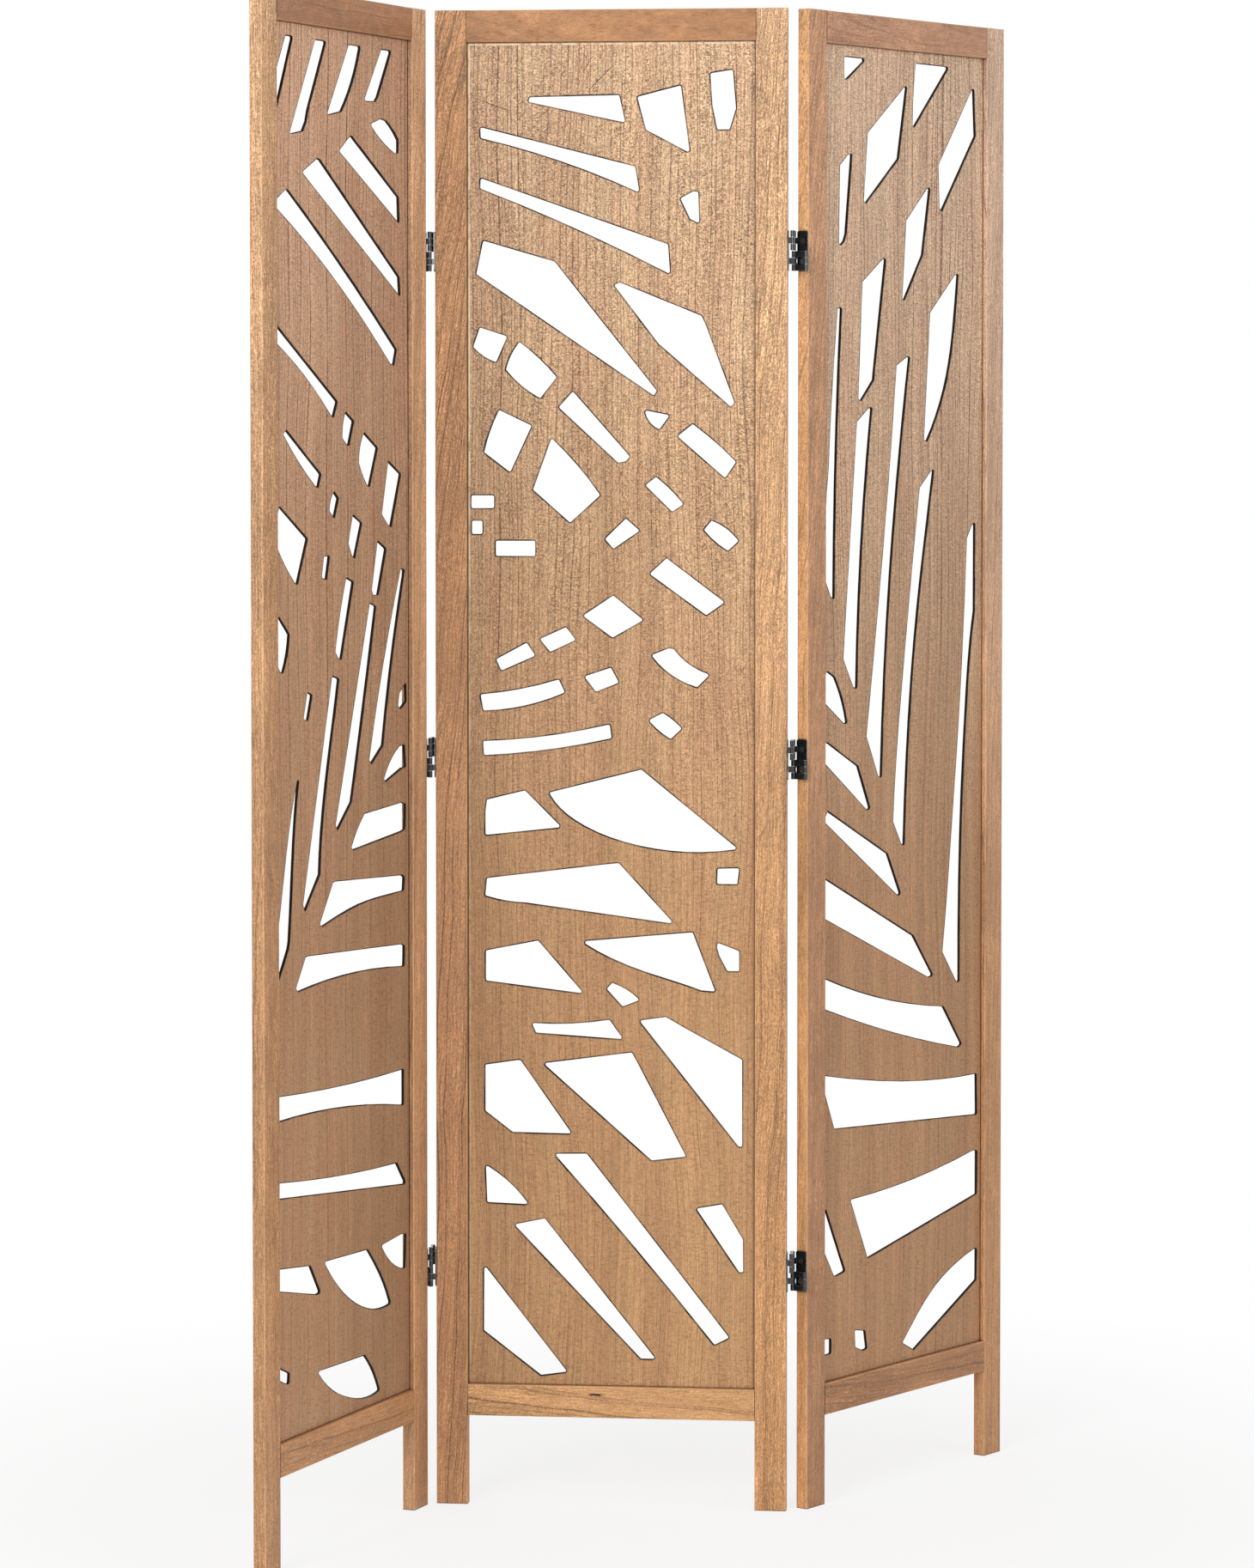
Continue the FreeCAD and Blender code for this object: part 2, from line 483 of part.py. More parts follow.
def link_pins():
    # The two pins of the upper link, held fast in its own loops and free in the leaves' loops.
    pins = []
    for pin_y in (front_pin, back_pin):
        start = FreeCAD.Vector(0, pin_y, link_bottom + pin_end_inset)
        pins.append(Part.makeCylinder(pin_radius, link_height - 2 * pin_end_inset, start, up))
    return pins


def hinge_screw(half):
    # A screw of the left-hand leaf, driven towards -X.
    inner_face = -half_gap + hinge_plate_thickness
    mouth = FreeCAD.Vector(inner_face, frame_thickness / 2, half * link_middle)
    head = Part.makeCone(screw_head_radius, screw_shank_radius, hinge_plate_thickness, mouth, -along)
    neck = mouth - along * hinge_plate_thickness
    shank = Part.makeCylinder(screw_shank_radius, screw_shank_length, neck, -along)
    tip = Part.makeCone(screw_shank_radius, 0, screw_tip_length, neck - along * screw_shank_length, -along)
    bottom = inner_face - cross_recess_depth
    recess = []
    for width, length in (
        (cross_recess_width, cross_recess_length),
        (cross_recess_length, cross_recess_width),
    ):
        recess.append(
            box(
                bottom,
                inner_face + overrun,
                mouth.y - width / 2,
                mouth.y + width / 2,
                mouth.z - length / 2,
                mouth.z + length / 2,
            )
        )
    return head.fuse([shank, tip]).cut(recess).removeSplitter()


def turned_half(shape):
    # Turns a left-hand leaf or screw half round into the right-hand one.
    turned = shape.copy()
    turned.rotate(FreeCAD.Vector(0, frame_thickness / 2, 0), up, 180)
    return turned


def lowered(shape):
    # Moves a piece of the upper link down to the lower link.
    moved = shape.copy()
    moved.translate(-up * (hinge_height / 2 + link_bottom))
    return moved


def at_gap(shapes, gap_x):
    placed = []
    for hinge in hinge_heights:
        for shape in shapes:
            copy = shape.copy()
            copy.translate(FreeCAD.Vector(gap_x, 0, hinge))
            placed.append(copy)
    return placed


def swung(shapes, axis_x, axis_y, angle):
    turned = []
    for shape in shapes:
        copy = shape.copy()
        copy.rotate(FreeCAD.Vector(axis_x, axis_y, 0), up, angle)
        turned.append(copy)
    return turned


def panel_pieces(name, outlines, left_side, right_side):
    # A side is "outer" where it ends the screen, and holds hinge screws where it doesn't.
    return {
        name + "_" + left_side + "_stile": [stile(True, left_side != "outer")],
        name + "_" + right_side + "_stile": [stile(False, right_side != "outer")],
        name + "_top_rail": [rail(True)],
        name + "_bottom_rail": [rail(False)],
        name + "_fretwork": [pierced_sheet(outlines)],
        name + "_dowels": dowels(),
    }


nodes = {}
left_gap_x = -half_gap
right_gap_x = panel_width + half_gap

nodes.update(panel_pieces("centre", centre_outline_shares, "left", "right"))

for node, shapes in panel_pieces("left", left_outline_shares, "outer", "hinge").items():
    for shape in shapes:
        shape.translate(-along * (panel_width + flat_gap))
    nodes[node] = swung(shapes, left_gap_x, front_pin, left_fold_angle)

for node, shapes in panel_pieces("right", right_outline_shares, "hinge", "outer").items():
    for shape in shapes:
        shape.translate(along * (panel_width + flat_gap))
    nodes[node] = swung(shapes, right_gap_x, back_pin, right_fold_angle)

# Each link goes with the panel that it doesn't move against: upper with the centre, lower with the side.
left_leaf = hinge_leaf()
right_leaf = turned_half(left_leaf)
left_screws = [hinge_screw(half) for half in (-1, 1)]
right_screws = [turned_half(screw) for screw in left_screws]
upper_link = hinge_link()
upper_pins = link_pins()
lower_link = lowered(upper_link)
lower_pins = [lowered(pin) for pin in upper_pins]

for gap, gap_x, pin_y, angle, centre_leaf, centre_screws, side_leaf, side_screws in (
    ("left_gap", left_gap_x, front_pin, left_fold_angle, right_leaf, right_screws, left_leaf, left_screws),
    ("right_gap", right_gap_x, back_pin, right_fold_angle, left_leaf, left_screws, right_leaf, right_screws),
):
    nodes[gap + "_centre_leaves"] = at_gap([centre_leaf], gap_x)
    nodes[gap + "_centre_screws"] = at_gap(centre_screws, gap_x)
    nodes[gap + "_upper_links"] = at_gap([upper_link], gap_x)
    nodes[gap + "_upper_pins"] = at_gap(upper_pins, gap_x)
    nodes[gap + "_side_leaves"] = swung(at_gap([side_leaf], gap_x), gap_x, pin_y, angle)
    nodes[gap + "_side_screws"] = swung(at_gap(side_screws, gap_x), gap_x, pin_y, angle)
    nodes[gap + "_lower_links"] = swung(at_gap([lower_link], gap_x), gap_x, pin_y, angle)
    nodes[gap + "_lower_pins"] = swung(at_gap(lower_pins, gap_x), gap_x, pin_y, angle)

# The origin goes to the middle of the standing screen's footprint.
whole = Part.makeCompound([shape for shapes in nodes.values() for shape in shapes])
bounds = whole.optimalBoundingBox(False, False)
to_origin = FreeCAD.Vector(-(bounds.XMin + bounds.XMax) / 2, -(bounds.YMin + bounds.YMax) / 2, 0)

os.makedirs("parts", exist_ok=True)
for node, shapes in nodes.items():
    for shape in shapes:
        shape.translate(to_origin)
    shape = shapes[0] if len(shapes) == 1 else Part.makeCompound(shapes)
    shape.exportStep("parts/" + node + ".step")
print("moved to the origin by", to_origin.x, to_origin.y)
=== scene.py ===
"""Dresses the three-leaf folding screen: timber, pierced veneer sheets, hinges, floor, light and camera."""

import json
import math
from collections import namedtuple

import bpy
from bpy.props import FloatProperty, FloatVectorProperty, PointerProperty
from bpy.types import Operator, Panel, PropertyGroup
from mathutils import Color, Matrix, Vector


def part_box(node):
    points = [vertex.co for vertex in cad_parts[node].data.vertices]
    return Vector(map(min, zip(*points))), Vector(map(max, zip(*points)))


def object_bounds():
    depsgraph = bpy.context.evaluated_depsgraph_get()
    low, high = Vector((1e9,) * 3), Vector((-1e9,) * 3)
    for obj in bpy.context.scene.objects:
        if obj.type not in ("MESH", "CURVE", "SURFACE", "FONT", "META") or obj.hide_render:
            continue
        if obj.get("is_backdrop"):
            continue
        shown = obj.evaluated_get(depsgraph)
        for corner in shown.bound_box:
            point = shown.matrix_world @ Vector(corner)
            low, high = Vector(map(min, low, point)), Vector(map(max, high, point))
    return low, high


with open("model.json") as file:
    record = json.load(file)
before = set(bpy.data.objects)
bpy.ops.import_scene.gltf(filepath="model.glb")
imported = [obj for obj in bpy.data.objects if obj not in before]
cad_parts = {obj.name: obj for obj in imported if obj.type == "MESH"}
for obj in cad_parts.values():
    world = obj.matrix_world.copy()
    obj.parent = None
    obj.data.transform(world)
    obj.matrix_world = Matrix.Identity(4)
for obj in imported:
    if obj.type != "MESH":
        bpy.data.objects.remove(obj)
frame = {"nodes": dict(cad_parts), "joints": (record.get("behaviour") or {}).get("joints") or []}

bl_info = {
    "name": "Folding Screen Finishes",
    "version": (1, 0, 0),
    "blender": (4, 5, 0),
    "location": "3D View > Sidebar > Screen",
    "description": "Finishes, light and camera for a three-leaf folding screen with pierced leaves",
    "category": "Material",
}

# How a board lies in its leaf and was sawn from its log. Lengths are metres and angles degrees.
# along: the leaf's own axis that the grain follows. low_colour and high_colour: its tones at both ends.
# slope and tilt: how far the log leans across and through the board.
# bow: how sharply its grain curves higher up. pith: the log's centre from the board's.
# ring: the width of a growth ring. figure: how strongly its lines show, and how little its grain swirls.
# fleck: how strongly its fibres, ticks and flecks show. side: painted light and shade on its narrow sides, as
# factors under one to darken them and over one to lighten them.
Board = namedtuple(
    "Board",
    "leaf along low_colour high_colour slope tilt bow pith ring figure fleck side",
    defaults=((1.0, 1.0, 1.0),),
)

BOARDS = {
    "centre_left_stile": Board(
        "centre_panel", "Z", low_colour=(196, 144, 101), high_colour=(206, 153, 106),
        slope=-2.0, tilt=0.4, bow=0.07, pith=(-0.090, 0.050), ring=0.0080,
        figure=1.00, fleck=1.4,
    ),
    "centre_right_stile": Board(
        "centre_panel", "Z", low_colour=(214, 160, 109), high_colour=(238, 190, 143),
        slope=-1.6, tilt=0.3, bow=0.02, pith=(0.120, 0.060), ring=0.0085,
        figure=0.75, fleck=1.7,
    ),
    "centre_top_rail": Board(
        "centre_panel", "X", low_colour=(178, 128, 86), high_colour=(178, 128, 86),
        slope=1.0, tilt=5.0, bow=0.00, pith=(0.004, 0.026), ring=0.0095,
        figure=0.30, fleck=0.5,
    ),
    "centre_bottom_rail": Board(
        "centre_panel", "X", low_colour=(211, 161, 111), high_colour=(211, 161, 111),
        slope=-1.4, tilt=1.2, bow=0.06, pith=(0.030, 0.080), ring=0.0070,
        figure=0.75, fleck=1.0,
    ),
    "left_outer_stile": Board(
        "left_panel", "Z", low_colour=(207, 155, 110), high_colour=(236, 186, 141),
        slope=1.6, tilt=0.6, bow=0.02, pith=(0.080, 0.070), ring=0.0080,
        figure=0.60, fleck=1.5, side=(0.80, 0.80, 0.78),
    ),
    "left_hinge_stile": Board(
        "left_panel", "Z", low_colour=(214, 164, 120), high_colour=(254, 204, 160),
        slope=-1.6, tilt=0.5, bow=0.03, pith=(-0.100, 0.045), ring=0.0075,
        figure=0.70, fleck=1.1, side=(0.76, 0.74, 0.72),
    ),
    "left_top_rail": Board(
        "left_panel", "X", low_colour=(187, 135, 99), high_colour=(187, 135, 99),
        slope=2.2, tilt=1.0, bow=0.05, pith=(0.050, 0.060), ring=0.0075,
        figure=0.50, fleck=0.7,
    ),
    "left_bottom_rail": Board(
        "left_panel", "X", low_colour=(212, 156, 108), high_colour=(212, 156, 108),
        slope=-1.8, tilt=0.8, bow=0.05, pith=(-0.060, 0.070), ring=0.0075,
        figure=0.70, fleck=1.0,
    ),
    "right_hinge_stile": Board(
        "right_panel", "Z", low_colour=(195, 143, 103), high_colour=(221, 167, 127),
        slope=-1.2, tilt=0.8, bow=0.07, pith=(-0.110, 0.040), ring=0.0080,
        figure=0.60, fleck=1.1, side=(1.17, 1.22, 1.06),
    ),
    "right_outer_stile": Board(
        "right_panel", "Z", low_colour=(208, 154, 108), high_colour=(244, 204, 174),
        slope=-1.2, tilt=0.5, bow=0.02, pith=(0.090, 0.060), ring=0.0075,
        figure=0.70, fleck=1.0,
    ),
    "right_top_rail": Board(
        "right_panel", "X", low_colour=(207, 155, 121), high_colour=(207, 155, 121),
        slope=1.4, tilt=2.0, bow=0.04, pith=(0.020, 0.050), ring=0.0080,
        figure=0.50, fleck=0.8,
    ),
    "right_bottom_rail": Board(
        "right_panel", "X", low_colour=(191, 138, 96), high_colour=(191, 138, 96),
        slope=-2.0, tilt=1.0, bow=0.04, pith=(0.060, 0.060), ring=0.0075,
        figure=0.70, fleck=1.0,
    ),
}

# The middle tone of each pierced sheet, low down and at its top. gain: how much lighter its right side is.
# curl: how strongly its curled figure shows. glue: how strongly the painted highlight along its frame's edge
# shows.
# scorch: how wide the scorched line around its cut-outs is, as a share of the setting.
Sheet = namedtuple("Sheet", "leaf low_colour high_colour gain curl glue scorch")

SHEETS = {
    "centre_fretwork": Sheet(
        "centre_panel", low_colour=(198, 154, 108), high_colour=(243, 205, 163),
        gain=0.1, curl=1.0, glue=1.0, scorch=1.0,
    ),
    "left_fretwork": Sheet(
        "left_panel", low_colour=(200, 157, 119), high_colour=(244, 198, 163),
        gain=-0.1, curl=0.35, glue=0.0, scorch=0.72,
    ),
    "right_fretwork": Sheet(
        "right_panel", low_colour=(196, 150, 109), high_colour=(255, 219, 184),
        gain=-0.05, curl=0.55, glue=0.0, scorch=0.72,
    ),
}

# A hair crack or a slit in a piece of the centre leaf: its ends, across from the leaf's middle line and up
# from the floor, and its width, in metres.
Crack = namedtuple("Crack", "node start end width")

CRACKS = (
    Crack("centre_fretwork", start=(0.003, 1.638), end=(-0.026, 1.609), width=0.0009),
    Crack("centre_fretwork", start=(-0.021, 1.647), end=(-0.0305, 1.632), width=0.0007),
    Crack("centre_fretwork", start=(-0.159, 1.602), end=(-0.113, 1.586), width=0.0008),
    Crack("centre_fretwork", start=(-0.069, 1.569), end=(-0.076, 1.563), width=0.0007),
    Crack("centre_bottom_rail", start=(-0.025, 0.129), end=(-0.010, 0.128), width=0.0024),
)

WHITE = (1.0, 1.0, 1.0, 1.0)

# The size in metres of a figure's patches: across, through and along the grain.
TIMBER_WANDER = (0.06, 0.06, 0.22)
TIMBER_CLOUDS = (0.05, 0.05, 0.16)
TIMBER_SWIRL = (0.016, 0.016, 0.030)
VENEER_WANDER = (0.14, 0.14, 0.55)
VENEER_CLOUDS = (0.10, 0.10, 0.30)
VENEER_COMB = (0.012, 0.012, 0.11)
VENEER_ROSE = (0.03, 0.03, 0.30)

# The same of the wood's small figure, as shares of an open pore's width, width and length.
PORE_SHARES = (1.0, 1.0, 1.0)
DOT_SHARES = (2.0, 2.0, 0.2)
BREAK_SHARES = (12.0, 12.0, 7.0)
TICK_SHARES = (1.5, 1.5, 0.16)
FLECK_SHARES = (1.3, 1.3, 0.7)

# The size in metres of other patches: X, Y and Z.
HIGHLIGHT_PATCHES = (0.006, 0.006, 0.02)
BURN_PATCHES = (0.03, 0.03, 0.03)
CRACK_PATCHES = (0.005, 0.005, 0.005)
LACQUER_SKIN = (0.0012, 0.0012, 0.0012)
LACQUER_PATCHES = (0.006, 0.006, 0.006)
PIN_RINGS = (0.02, 0.02, 0.0003)
PIN_HAZE = (0.002, 0.002, 0.004)
SCREW_GRAIN = (0.0006, 0.0006, 0.0006)
BEECH_FIBRES = (0.012, 0.0008, 0.0008)
BEECH_FLECKS = (0.0025, 0.0004, 0.0004)

# How far apart two boards or two sheets are taken from their texture, in metres, and how many growth rings
# apart two boards start.
TIMBER_STEP = (0.37, 0.53, 0.71)
VENEER_STEP = (0.41, 0.29, 0.83)
RING_STEP = 7.3

# Lines of pores. A fade is how far from its middle a line starts to fade and is gone, as shares of a growth
# ring. A rate is how many times in one ring something comes or changes.
LINE_FADE = (0.03, 0.095)
FAINT_LINE_FADE = (0.05, 0.18)
FAINT_LINE_RATE = 2.63
LINE_CHANGE_RATE = 0.9
FAINT_CHANGE_RATE = 1.7
BAND_RATE = 0.23
WEAKEST_TIMBER_LINE = 0.12
WEAKEST_VENEER_LINE = 0.50

# The veneer's lines are unevenly spaced: how many rings a change takes, and by how many it moves them.
UNEVEN_RINGS = 2.3
UNEVEN_SHIFT = 1.8

# Where a piece's low look ends and its high look begins, up from its middle: a board's as shares of its
# length, and a sheet's colour and figure as shares of half its height. A full cloud brings the change of a
# sheet as many metres lower as SHEET_CLOUD_PUSH says. A board is straight up to BOW_START_SHARE of its
# length under its middle, and bows from there.
BOARD_CHANGE_SHARES = (-0.25, 0.5)
SHEET_CHANGE_SHARES = (-0.3, 1.25)
SHEET_FIGURE_SHARES = (-0.7, 1.0)
SHEET_CLOUD_PUSH = 0.25
BOW_START_SHARE = 0.15

# How strongly a figure darkens and lightens the wood, as a share. A pair is low down and high up.
TIMBER_TONES = {"bands": 0.70, "clouds": 0.60, "swirl": 1.2, "fibres": 1.40, "ticks": 0.38, "flecks": 0.26}
TIMBER_FLECK_GAIN = (0.70, 1.15)
VENEER_TONES = {"fibres": 0.95, "bands": 0.36, "clouds": 0.26}
VENEER_TICKS = (0.18, 0.50)
VENEER_FLECKS = (0.14, 0.24)

# How strongly a colour is laid over the wood, as a share. A pair is low down and high up.
TIMBER_PORES = 0.35
VENEER_PORES = 0.45
VENEER_VEINS = (0.45, 1.0)
VENEER_CURL = (0.15, 0.80)
VENEER_RIPPLE = 0.26
# A painted highlight along a sheet's left and upper frame edge, low down and high up.
VENEER_HIGHLIGHT = (0.25, 0.95)
TIMBER_CRACKS = 1.0
VENEER_CRACKS = 0.85
# A painted shadow that one stile casts on a sheet's right edge.
SHADED_EDGE = 0.42
SAWN_END = 0.55
# Painted shade in inside corners, where another piece stands near.
CORNER_SHADE = 0.9

# The varnish: how deep its open pores are, in metres, how high its ticks stand as a share of that, how glossy
# it is, and how much smoother and rougher the fibres make it.
TIMBER_DEPTH = 0.00015
VENEER_DEPTH = 0.00012
TICK_RELIEF_SHARE = 0.25
VARNISH_GLOSS = 0.35
VARNISH_SPREAD = (-0.08, 0.10)

# The relief in the other finishes, and how far a crack strays from straight, in metres.
LACQUER_DEPTH = 0.00003
METAL_DEPTH = 0.00002
BEECH_DEPTH = 0.00006
CRACK_STRAY = 0.0018

# The stage in metres: the floor's reach, the distances from the origin between which it fades into the
# background, the lamps, how far over the screen's middle the key lamp aims, and how far the camera sees.
# Its sensor is measured in millimetres, as its lens is.
FLOOR_REACH = 9.0
FLOOR_FADE = (0.35, 1.5)
KEY_PLACE = (-2.0, -5.6, 2.7)
KEY_SIZE = (2.6, 4.2)
KEY_AIM = 0.2
FILL_PLACE = (3.4, -1.6, 1.8)
FILL_SIZE = (2.0, 2.0)
CAMERA_REACH = 60.0
SENSOR_MM = 36.0

FOLDS = {joint["child"]: joint for joint in frame["joints"]}


def gamma(red, green, blue):
    """A screen colour from its three 0 to 255 values."""
    return (red / 255, green / 255, blue / 255)


def linear(colour):
    """The four-part light colour that shader sockets take, from a screen colour."""
    return (*Color(colour[:3]).from_srgb_to_scene_linear(), 1.0)


def colour_setting(name, description, red, green, blue):
    """A colour that the user can change."""
    return FloatVectorProperty(
        name=name,
        description=description,
        subtype="COLOR_GAMMA",
        size=3,
        min=0.0,
        max=1.0,
        default=gamma(red, green, blue),
    )


def length_setting(name, description, default):
    """A length in metres that the user can change."""
    limits = {"precision": 5, "min": 0.0}
    return FloatProperty(name=name, description=description, unit="LENGTH", default=default, **limits)


def share_setting(name, description, default):
    """A share from nought to one that the user can change."""
    limits = {"min": 0.0, "max": 1.0}
    return FloatProperty(name=name, description=description, subtype="FACTOR", default=default, **limits)


def power_setting(name, description, default):
    """A lamp's power in watts that the user can change."""
    return FloatProperty(name=name, description=description, unit="POWER", default=default)


def angle_setting(name, description, degrees):
    """An angle that the user can change."""
    return FloatProperty(name=name, description=description, unit="ROTATION", default=math.radians(degrees))


class TimberSettings(PropertyGroup):
    """Sizes and colours of the solid timber frames."""

    line_depth: share_setting("Line depth", "How dark the lines of early wood are", 0.85)
    sway: length_setting("Sway", "How far the grain wanders from straight", 0.024)
    fibre_width: length_setting("Fibre width", "Width of one fibre streak", 0.0012)
    fibre_length: length_setting("Fibre length", "Length of one fibre streak", 0.048)
    pore_width: length_setting("Pore width", "Width of an open pore", 0.0009)
    pore_length: length_setting("Pore length", "Length of an open pore", 0.014)
    pore_colour: colour_setting("Pores", "Colour in the open pores", 96, 54, 28)
    # Painted highlight on the rounded edges: its pale colour and its strength.
    arris_highlight_colour: colour_setting("Rubbed edges", "Colour of the sanded, rounded edges", 236, 190, 140)
    arris_highlight_share: share_setting("Rubbed edge strength", "How strongly the rounded edges are paler", 0.45)
    end_colour: colour_setting("End grain", "Colour that the sawn ends take up", 138, 92, 58)
    # Painted shade in inside corners: how far it reaches, and its colour, which also darkens the cracks.
    corner_shade_width: length_setting("Grime width", "How far wax and dust darken an inside corner", 0.0022)
    shade_and_crack_colour: colour_setting("Grime", "Colour of the wax and dust in inside corners", 48, 28, 18)
    polish: share_setting("Roughness", "Roughness of the satin varnish", 0.46)


class VeneerSettings(PropertyGroup):
    """Sizes and colours of the pierced sheets."""

    ring_width: length_setting("Ring width", "Distance between two lines of pores", 0.0075)
    line_depth: share_setting("Line depth", "How dark the lines of pores are near the top", 1.0)
    sway: length_setting("Sway", "How far the grain wanders from straight", 0.060)
    fibre_width: length_setting("Fibre width", "Width of one fibre streak", 0.0012)
    fibre_length: length_setting("Fibre length", "Length of one fibre streak", 0.060)
    pore_width: length_setting("Pore width", "Width of an open pore", 0.0008)
    pore_length: length_setting("Pore length", "Length of an open pore", 0.012)
    vein_colour: colour_setting("Veins", "Colour of the lines of pores", 92, 50, 24)
    rosy_colour: colour_setting("Rosy streaks", "Tint of the pinker streaks", 252, 246, 246)
    ripple_height: length_setting("Ripple height", "Height of one ripple of the cross figure", 0.0021)
    curl_width: length_setting("Curl width", "Width of one cell of the curled figure", 0.0036)
    curl_height: length_setting("Curl height", "Height of one cell of the curled figure", 0.0024)
    # Painted light and shade at the frame's edges: the colour and width of a pale painted highlight along its
    # left and upper edge, and the width of a painted shadow beside its right stile.
    highlight_colour: colour_setting("Glue line", "Colour of the pale line at the sheet's edge", 255, 230, 196)
    highlight_width: length_setting("Glue line width", "Width of the pale line at the sheet's edge", 0.0021)
    shade_width: length_setting("Shaded edge", "Width of the darker strip beside one stile", 0.0042)
    char_colour: colour_setting("Char", "Colour of the burnt cut walls", 26, 16, 12)
    char_width: length_setting("Char width", "Width of the scorched line around a cut-out", 0.0018)
    # Painted shade in inside corners: how far it reaches, and its colour, which also darkens the cracks and
    # paints the shadow beside one stile.
    corner_shade_width: length_setting("Grime width", "How far wax and dust darken an inside corner", 0.0030)
    shade_and_crack_colour: colour_setting("Grime", "Colour of the wax and dust in inside corners", 48, 28, 18)
    polish: share_setting("Roughness", "Roughness of the satin varnish", 0.50)


class HingeSettings(PropertyGroup):
    """Sizes and colours of the hinges, the screws and the dowels."""

    lacquer_colour: colour_setting("Lacquer", "Colour of the stoved black lacquer", 12, 11, 12)
    skin_colour: colour_setting("Lacquer skin", "Colour of the finely raised skin of the lacquer", 24, 22, 22)
    lacquer_roughness: share_setting("Lacquer roughness", "Roughness of the lacquer", 0.30)
    worn_colour: colour_setting("Worn edge", "Colour of the bare steel at worn edges", 198, 196, 190)
    worn_width: length_setting("Worn width", "Width of the wear along an edge", 0.0006)
    steel_colour: colour_setting("Pin steel", "Colour of the bright plated pins", 190, 190, 188)
    haze_colour: colour_setting("Pin haze", "Colour of the hazy patches on the pins", 136, 134, 130)
    screw_colour: colour_setting("Screw black", "Colour of the blackened screws", 112, 110, 107)
    screw_grain_colour: colour_setting("Screw grain", "Colour of the darker grain in the screws", 84, 82, 80)
    beech_colour: colour_setting("Beech", "Colour of the dowels", 218, 178, 134)
    beech_fleck_colour: colour_setting("Beech flecks", "Colour of the flecks in the dowels", 150, 104, 72)


class StageSettings(PropertyGroup):
    """Floor, light and camera."""

    floor_colour: colour_setting("Floor", "Colour of the floor", 250, 250, 249)
    floor_veil: share_setting("Floor veil", "How far the plain background covers the floor at the feet", 0.78)
    room_light: share_setting("Room light", "Strength of the even light around", 0.54)
    key_light: power_setting("Key light", "Power of the large soft lamp", 185.0)
    fill_light: power_setting("Fill light", "Power of the smaller soft lamp", 16.0)
    camera_place: FloatVectorProperty(
        name="Camera place",
        description="Where the camera stands",
        subtype="TRANSLATION",
        unit="LENGTH",
        default=(0.56689, -5.58564, 1.25196),
    )
    camera_turn: angle_setting("Camera turn", "Camera's turn to the left", 6.0423)
    camera_dip: angle_setting("Camera dip", "How far the camera looks down", 2.1675)
    focal_length: FloatProperty(
        name="Focal length", description="Focal length of the lens", unit="CAMERA", default=114.413
    )
    lens_shift: FloatProperty(name="Lens shift", description="Vertical shift of the lens", default=-0.12)


